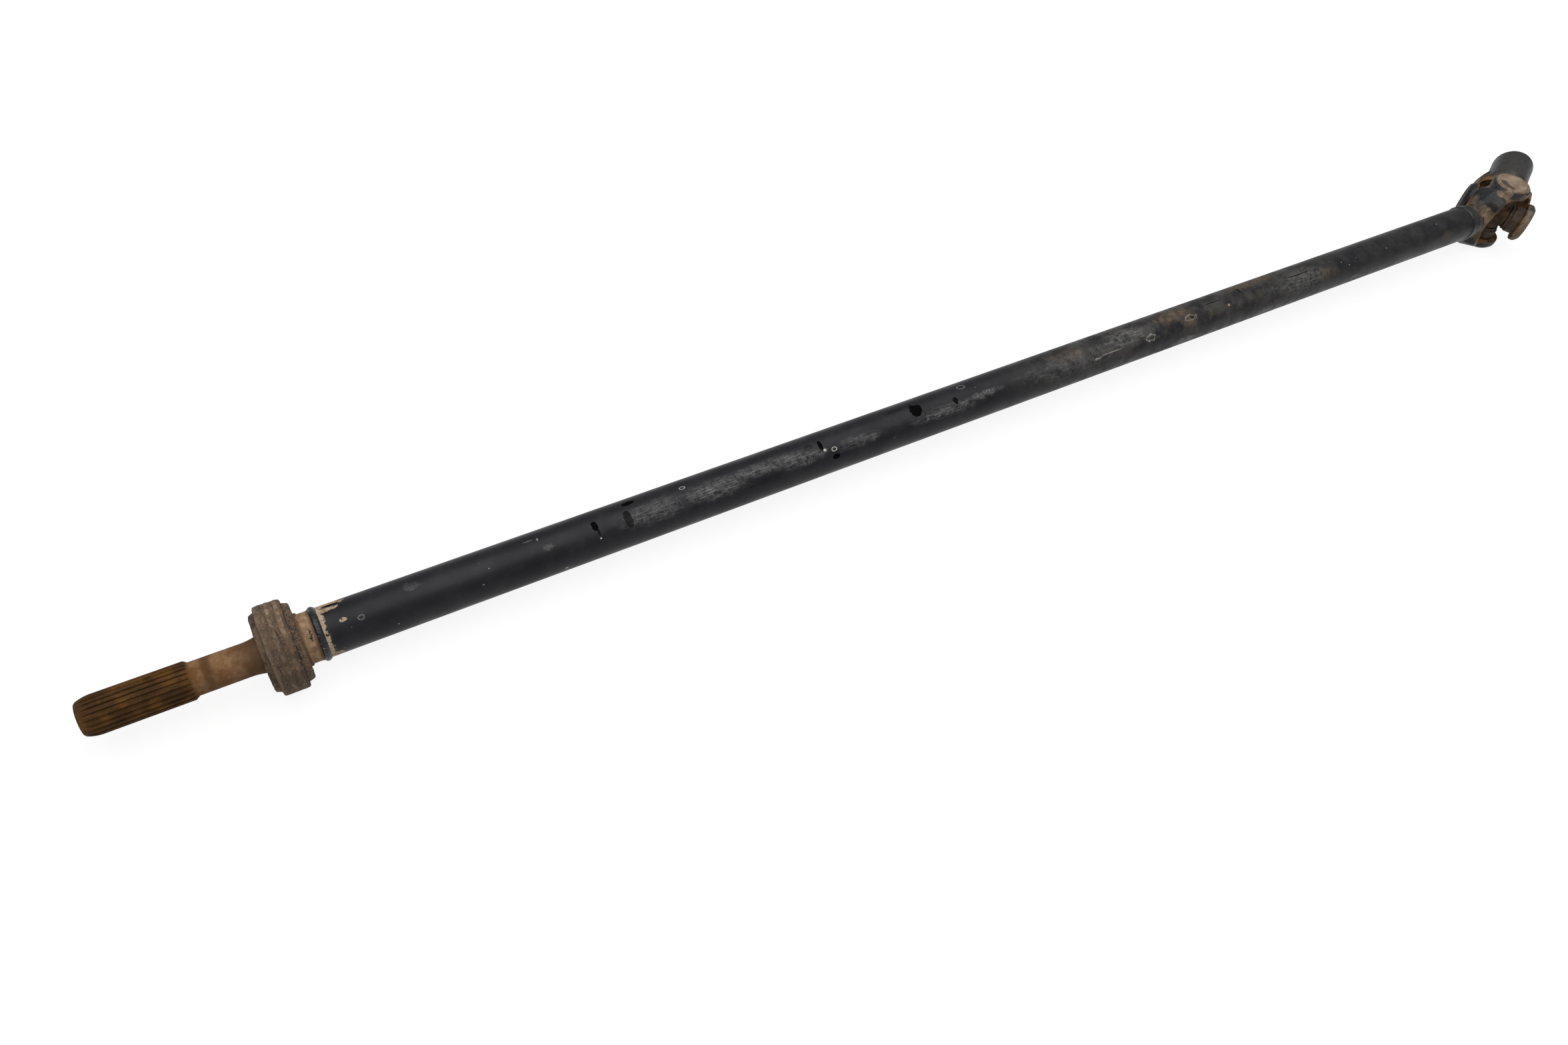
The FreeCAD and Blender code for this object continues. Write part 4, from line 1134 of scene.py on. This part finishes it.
@dataclass
class SupportBearing:
    """Outer ring under caked dirt, its slingers, seals, balls and cage. Sizes are in millimetres."""

    half_width: float = 8.5
    radius: float = 30.85
    corner: float = 1.2
    corner_cut: float = 0.35
    seal_step: float = 7.2
    land: float = 25.3
    race: tuple[tuple[float, float], ...] = ((-3.6, 25.3), (-2.0, 27.1), (0.0, 27.5), (2.0, 27.1), (3.6, 25.3))
    seal_seat: float = 26.7
    ridges: tuple[tuple[float, float, float], ...] = (
        (-0.8, 0.9, 0.6), (4.6, 0.8, 0.45), (-5.2, 1.4, 0.4), (7.0, 0.8, -0.35))
    open_turn: float = 0.35
    slinger_sheet: float = 1.5
    journal: float = 12.51
    slinger_hub: float = 16.5
    ring_gap: float = 0.2
    grains: int = 90

    def crust(self, place: Vector) -> float:
        """Depth of the dirt on the ring, thickest in ridges on the open side.

        Args:
            place: Place on the mesh.

        Returns:
            Millimetres to move it.
        """
        out = axis_distance(place)
        if out < 28.0:
            return 0.0
        along = place.x / MM + 1.3 * rough_noise(Vector((0.0, place.y, place.z)), 24.0, 3.0, 2)
        ridges = sum(height * math.exp(-((along - middle) / width) ** 2) for middle, width, height in self.ridges)
        lumps = 0.22 * rough_noise(place, 5.0, 1.0)
        openness = max(0.0, math.cos(math.atan2(-place.y, place.z) - self.open_turn)) ** 0.5
        return min(0.12 + 0.85 * openness, (ridges + lumps + 0.25) * (0.25 + 0.75 * openness))

    def ring(self) -> None:
        """Outer ring with a wandering ridge and a crust."""
        half, top, cut = self.half_width, self.radius, self.corner_cut
        bm = spin([(-half, self.seal_seat), (-self.seal_step, self.seal_seat), (-self.seal_step, self.land),
                   *self.race, (self.seal_step, self.land), (self.seal_step, self.seal_seat),
                   (half, self.seal_seat), (half, top - self.corner), (half - cut, top - cut),
                   (half - self.corner, top), (-half + self.corner, top), (-half + cut, top - cut),
                   (-half, top - self.corner)], steps=300, step=0.65)
        swell(bm, self.crust)
        settle("bearing_ring_crusted", bm, RingCrust(), "bearing_outer", "ring_steel", "bearing_outer_ring")

    def slinger(self, side: int, wide: float, radius: float, depth: float, name: str, finish: Finish) -> None:
        """Pressed slinger under grit.

        Args:
            side: -1 on the stub side, 1 on the tube side.
            wide: Its width.
            radius: Its outside.
            depth: Depth of the grit.
            name: Name of the piece.
            finish: Its finish.
        """
        face, sheet, hub = self.half_width, self.slinger_sheet, self.slinger_hub
        rim, end = face + self.ring_gap, face + wide
        profile = [(face, self.journal), (face, hub), (end - sheet, hub), (end - sheet, radius - sheet),
                   (rim, radius - sheet), (rim, radius + 0.9), (face + 1.2, radius + 0.5), (end - 1.6, radius),
                   (end - 0.6, radius - 0.4), (end - 0.1, radius - 1.5), (end - 0.1, self.journal)]
        bm = spin([(side * along, out) for along, out in profile], steps=240, step=0.7)

        def grit(place: Vector) -> float:
            """Depth of grit over the sheet.

            Args:
                place: Place on the mesh.

            Returns:
                Millimetres to move it.
            """
            if axis_distance(place) < hub + 1.5 or side * place.x / MM < rim + 0.05:
                return 0.0
            return min(0.3, depth * rough_noise(place, 2.6, 4.0 + side))

        swell(bm, grit)
        settle(name, bm, finish, "shaft", "slinger_steel", name.rsplit("_", 1)[0])

    def stones(self) -> None:
        """Grains of sand stuck behind the ring."""
        bm = bmesh.new()
        for index in range(self.grains):
            seed = index * 12.9898
            turn = scatter(seed, 43758.5453, math.tau)
            share = scatter(seed + 1.7, 24634.6345)
            size = (0.22 + 0.4 * scatter(seed + 4.1, 9631.17) ** 2) * MM
            out = (26.7 - 0.55 * share) * MM
            along = (9.6 + 2.6 * share) * MM
            where = Matrix.Translation((along, -math.sin(turn) * out, math.cos(turn) * out))
            squash = Matrix.Diagonal((1.0, 0.7 + 0.5 * share, 0.8, 1.0))
            bmesh.ops.create_icosphere(bm, subdivisions=1, radius=size,
                                       matrix=where @ Matrix.Rotation(seed, 4, "Z") @ squash)
        settle("rear_slinger_stones", bm, STONES, "shaft", "slinger_steel")

    def build(self) -> None:
        """Make and dress the bearing."""
        self.ring()
        self.slinger(-1, wide=4.1, radius=26.8, depth=0.25, name="front_slinger_dirty", finish=FRONT_GRIT)
        self.slinger(1, wide=4.4, radius=26.6, depth=0.45, name="rear_slinger_gritty", finish=REAR_GRIT)
        self.stones()
        dress(SEAL, "front_seal", "rear_seal")
        dress(CAGE, "bearing_cage")
        dress(ROLLING, "bearing_inner_ring", "bearing_balls")


@dataclass
class WeldedTube:
    """The painted tube and the rippled beads at its ends. Sizes are in millimetres."""

    ripples: int = 46
    ripple: float = 0.12
    start: float = 25.5
    end: float = 1220.8
    radius: float = 17.5
    bore: float = 15.5
    bevel: float = 1.4
    front_bead: Profile = (
        (24.26, 15.45), (22.3, 18.1), (22.62, 18.62), (23.15, 19.02), (23.85, 19.17), (24.65, 19.08),
        (25.55, 18.78), (26.35, 18.25), (26.95, 17.6), (26.98, 17.5), (26.86, 17.5), (25.45, 15.5), (25.45, 15.45))
    front_crown: tuple[float, float] = (22.3, 27.0)
    rear_bead: Profile = (
        (1220.8, 15.45), (1220.8, 15.5), (1219.4, 17.5), (1219.05, 17.5), (1219.5, 17.93), (1220.2, 18.3),
        (1221.4, 18.6), (1222.5, 18.5), (1223.3, 18.2), (1223.95, 17.7), (1223.58, 17.7), (1222.0, 15.45))
    rear_crown: tuple[float, float] = (1219.05, 1223.95)

    def tube(self) -> None:
        """Tube, with ends bevelled for the welds."""
        bm = spin([(self.start, self.bore), (self.start + self.bevel, self.radius),
                   (self.end - self.bevel, self.radius), (self.end, self.bore)], steps=256, step=self.end)
        piece = settle("tube_smooth", bm, TubePaint(), "shaft", "tube_paint", "tube")
        piece.data.set_sharp_from_angle(angle=math.radians(30.0))

    def bead(self, name: str, node: str, profile: Profile, crown: tuple[float, float], nicked: float) -> None:
        """Bead of a weld with its ripples.

        Args:
            name: Name of the piece.
            node: CAD node that it stands for.
            profile: Its section.
            crown: Where the crown starts and ends along X.
            nicked: Share of the paint that is nicked off.
        """
        bm = spin(profile, steps=276, step=0.45)
        middle, width = (crown[0] + crown[1]) / 2, crown[1] - crown[0]

        def wave(place: Vector) -> float:
            """Ripple over the crown.

            Args:
                place: Place on the mesh.

            Returns:
                Millimetres to move it.
            """
            if axis_distance(place) < self.radius - 0.1:
                return 0.0
            across = (place.x / MM - middle) / width
            share = max(0.0, 1.0 - (across * 2) ** 2)
            beat = abs(math.sin(math.atan2(place.y, place.z) * self.ripples / 2 + 2.2 * across))
            return share * (self.ripple * (beat - 1.0) + 0.12 * rough_noise(place, 4.0, 2.0, 3) - 0.04)

        swell(bm, wave)
        settle(name, bm, bead_paint(name + "_paint", nicked), "shaft", "weld_paint", node)

    def build(self) -> None:
        """Make the tube and its beads."""
        self.tube()
        self.bead("front_bead_rippled", "front_weld_bead", self.front_bead, self.front_crown, nicked=0.1)
        self.bead("rear_bead_rippled", "rear_weld_bead", self.rear_bead, self.rear_crown, nicked=0.04)


@dataclass
class UniversalJoint:
    """Two forged forks with their cross, cups, seals, needles and snap rings. Sizes are in millimetres."""

    voxel: float = 0.7
    passes: int = 10
    bore: float = 14.5
    seat_start: float = 28.5
    spigot_start: float = -56.5
    spline_start: float = 30.0
    spline_reach: float = 15.5
    cup_end: float = 33.45
    upright_face: float = 36.75
    level_face: float = 35.3
    dirt_reach: float = 13.95
    dirt_face: Profile = (
        (0.75, 0.0), (0.8, 8.0), (0.95, 9.6), (0.85, 10.8), (0.5, 12.0), (0.3, 13.0), (0.25, 13.95))
    ends: tuple[str, ...] = ("top", "bottom", "near", "far")

    def ear_distance(self, place: Vector, way: Vector) -> tuple[float, float]:
        """Millimetres along an axis through the joint's middle and out from it.

        Args:
            place: Place in the part.
            way: Direction of the axis.

        Returns:
            Both distances.
        """
        local = (place - JOINT) / MM
        along = local.dot(way)
        return along, (local - way * along).length

    def seated(self, place: Vector, way: Vector) -> bool:
        """Whether a place is in the bores of the cups."""
        along, out = self.ear_distance(place, way)
        return out < self.bore and abs(along) > self.seat_start

    def fork(self, name: str, node: str, body: str, finish: Finish, grain: tuple[float, float],
             keep: Callable[[Vector], bool]) -> None:
        """Fork with a forging's rounded edges.

        Args:
            name: Name of the piece.
            node: CAD node that it stands for.
            body: CAD body that it rides on.
            finish: Its finish.
            grain: Height and seed of the forging's skin.
            keep: Says which places stay as they are.
        """
        height, seed = grain
        bm = reforge(node, self.voxel, self.passes, keep)
        swell(bm, lambda place: 0.0 if keep(place) else height * rough_noise(place, 6.0, seed) - 0.04)
        settle(name, bm, finish, body, "yoke_paint", node)

    def tube_yoke(self) -> None:
        """Tube yoke, whose cup bores and spigot stay true."""
        self.fork("tube_yoke_forged", "tube_yoke", "shaft", TubeYokePaint(), (0.10, 5.0),
                  lambda place: self.seated(place, TOP_WAY) or place.x < JOINT.x + self.spigot_start * MM)

    def coupler(self) -> None:
        """Splined coupler, whose cup bores and splined bore stay true."""
        def keep(place: Vector) -> bool:
            """Whether a place is in a bore."""
            along, out = self.ear_distance(place, HUB_WAY)
            return self.seated(place, NEAR_WAY) or (along > self.spline_start and out < self.spline_reach)

        self.fork("coupler_forged", "coupler_yoke", "coupler", CouplerPaint(), (0.09, 9.0), keep)

    def cap(self, end: str, way: Vector, body: str, face: float, finish: Finish) -> None:
        """Dirt that fills the recess over a cup.

        Args:
            end: End of the cross.
            way: Direction of the ear.
            body: CAD body that it rides on.
            face: From the joint's middle to the rim of the ear.
            finish: Its finish.
        """
        bm = spin([(self.cup_end, 0.0), *((face - below, out) for below, out in self.dirt_face),
                   (self.cup_end, self.dirt_reach)], steps=120, step=0.55)
        turn = Vector((1.0, 0.0, 0.0)).rotation_difference(way).to_matrix().to_4x4()
        bmesh.ops.transform(bm, matrix=Matrix.Translation(JOINT) @ turn, verts=bm.verts)

        def crust(place: Vector) -> float:
            """Unevenness of the dirt.

            Args:
                place: Place on the mesh.

            Returns:
                Millimetres to move it.
            """
            along, out = self.ear_distance(place, way)
            if along < face - 1.3 or out > 13.6:
                return 0.0
            return min(0.2, 0.22 * rough_noise(place, 5.0, 7.0))

        swell(bm, crust)
        settle(end + "_cap_dirt", bm, finish, body, "cup_steel")

    def build(self) -> None:
        """Make and dress the joint."""
        self.tube_yoke()
        self.coupler()
        dark = CapDirt("dark_cap_dirt", (0.030, 0.026, 0.023), (0.060, 0.050, 0.042))
        self.cap("top", TOP_WAY, "shaft", self.upright_face, CapDirt())
        self.cap("bottom", -TOP_WAY, "shaft", self.upright_face, CapDirt())
        self.cap("near", NEAR_WAY, "coupler", self.level_face, CapDirt())
        self.cap("far", -NEAR_WAY, "coupler", self.level_face, dark)
        dress(CROSS, "joint_cross")
        for finish, ending in ((CUP, "_cup"), (LIP, "_cup_seal"), (CLIP, "_snap_ring"), (ROLLING, "_needles")):
            dress(finish, *(end + ending for end in self.ends))


@dataclass
class Studio:
    """Pale floor, soft light and the camera."""

    eye: Vector = Vector((0.0245, -0.4764, 0.6645))
    right: Vector = Vector((0.86203, -0.49484, 0.10970))
    up: Vector = Vector((0.32886, 0.71075, 0.62184))
    forward: Vector = Vector((0.38568, 0.49997, -0.77542))
    lens: float = 26.02
    nod: float = 0.0009
    ring_edge: float = -0.0073
    rim_edge: float = 1.2649
    ring_low: float = -0.0311
    rim_low: float = -0.03675
    lamp_place: Vector = Vector((0.6, 0.0, 1.9))
    lamp_size: tuple[float, float] = (3.2, 2.2)
    lamp_watts: float = 52.0

    def camera(self) -> None:
        """Camera at the photograph's place."""
        data = bpy.data.cameras.new("camera")
        data.sensor_width = 36.0
        data.lens = self.lens
        data.clip_start = 0.01
        data.clip_end = 100.0
        item = link_new("camera", data)
        matrix = Matrix((self.right, self.up, -self.forward)).transposed().to_4x4()
        matrix = matrix @ Matrix.Rotation(-self.nod, 4, "X")
        matrix.translation = self.eye
        item.matrix_world = matrix
        bpy.context.scene.camera = item

    def paper(self) -> bpy.types.Material:
        """White paper that keeps the shadow in view and lights the shaft from below.

        Returns:
            Its material.
        """
        made = bpy.data.materials.new("floor_paper")
        made.use_nodes = True
        made.node_tree.nodes.clear()
        graph = Graph(made.node_tree)
        plain = graph.node("BsdfDiffuse", {"Color": (0.62, 0.62, 0.62)})
        shown = graph.node("BsdfDiffuse", {"Color": (0.13, 0.13, 0.13)})
        glow = graph.node("Emission", {"Strength": 0.89})
        both = graph.node("AddShader", {0: shown.outputs[0], 1: glow.outputs[0]})
        rays = graph.node("LightPath", {}).outputs
        seen = graph.math("MAXIMUM", rays["Is Camera Ray"], rays["Is Glossy Ray"]) | rays["Is Transmission Ray"]
        choice = graph.node("MixShader", {0: seen, 1: plain.outputs[0], 2: both.outputs[0]})
        graph.node("OutputMaterial", {"Surface": choice.outputs[0]})
        return made

    def floor(self) -> None:
        """Floor that touches the bearing and the lower ear."""
        slope = (self.rim_low - self.ring_low) / (self.rim_edge - self.ring_edge)
        bm = bmesh.new()
        bmesh.ops.create_grid(bm, x_segments=1, y_segments=1, size=30.0)
        for vert in bm.verts:
            vert.co.z = self.ring_low + (vert.co.x - self.ring_edge) * slope
        mesh = mesh_of("floor", bm)
        mesh.materials.append(self.paper())
        link_new("floor", mesh)

    def light(self) -> None:
        """Even world with a long soft lamp above the shaft."""
        world = bpy.data.worlds.new("studio")
        world.use_nodes = True
        world.node_tree.nodes.clear()
        graph = Graph(world.node_tree)
        sky = graph.node("Background", {"Color": (1.0, 1.0, 1.0), "Strength": 0.35})
        graph.node("OutputWorld", {"Surface": sky.outputs[0]})
        bpy.context.scene.world = world
        data = bpy.data.lights.new("overhead", "AREA")
        data.shape = "RECTANGLE"
        data.size, data.size_y = self.lamp_size
        data.energy = self.lamp_watts
        link_new("overhead", data).matrix_world = Matrix.Translation(self.lamp_place)
        bpy.context.scene.view_settings.view_transform = "Standard"

    def build(self) -> None:
        """Set up the studio."""
        self.camera()
        self.floor()
        self.light()


def main() -> None:
    """Build every sub-assembly."""
    logging.basicConfig(level=logging.INFO, format="%(name)s: %(message)s")
    Effects().build()
    for assembly in (Studio(), SplinedStub(), SupportBearing(), WeldedTube(), UniversalJoint()):
        assembly.build()


if __name__ == "__main__":
    main()
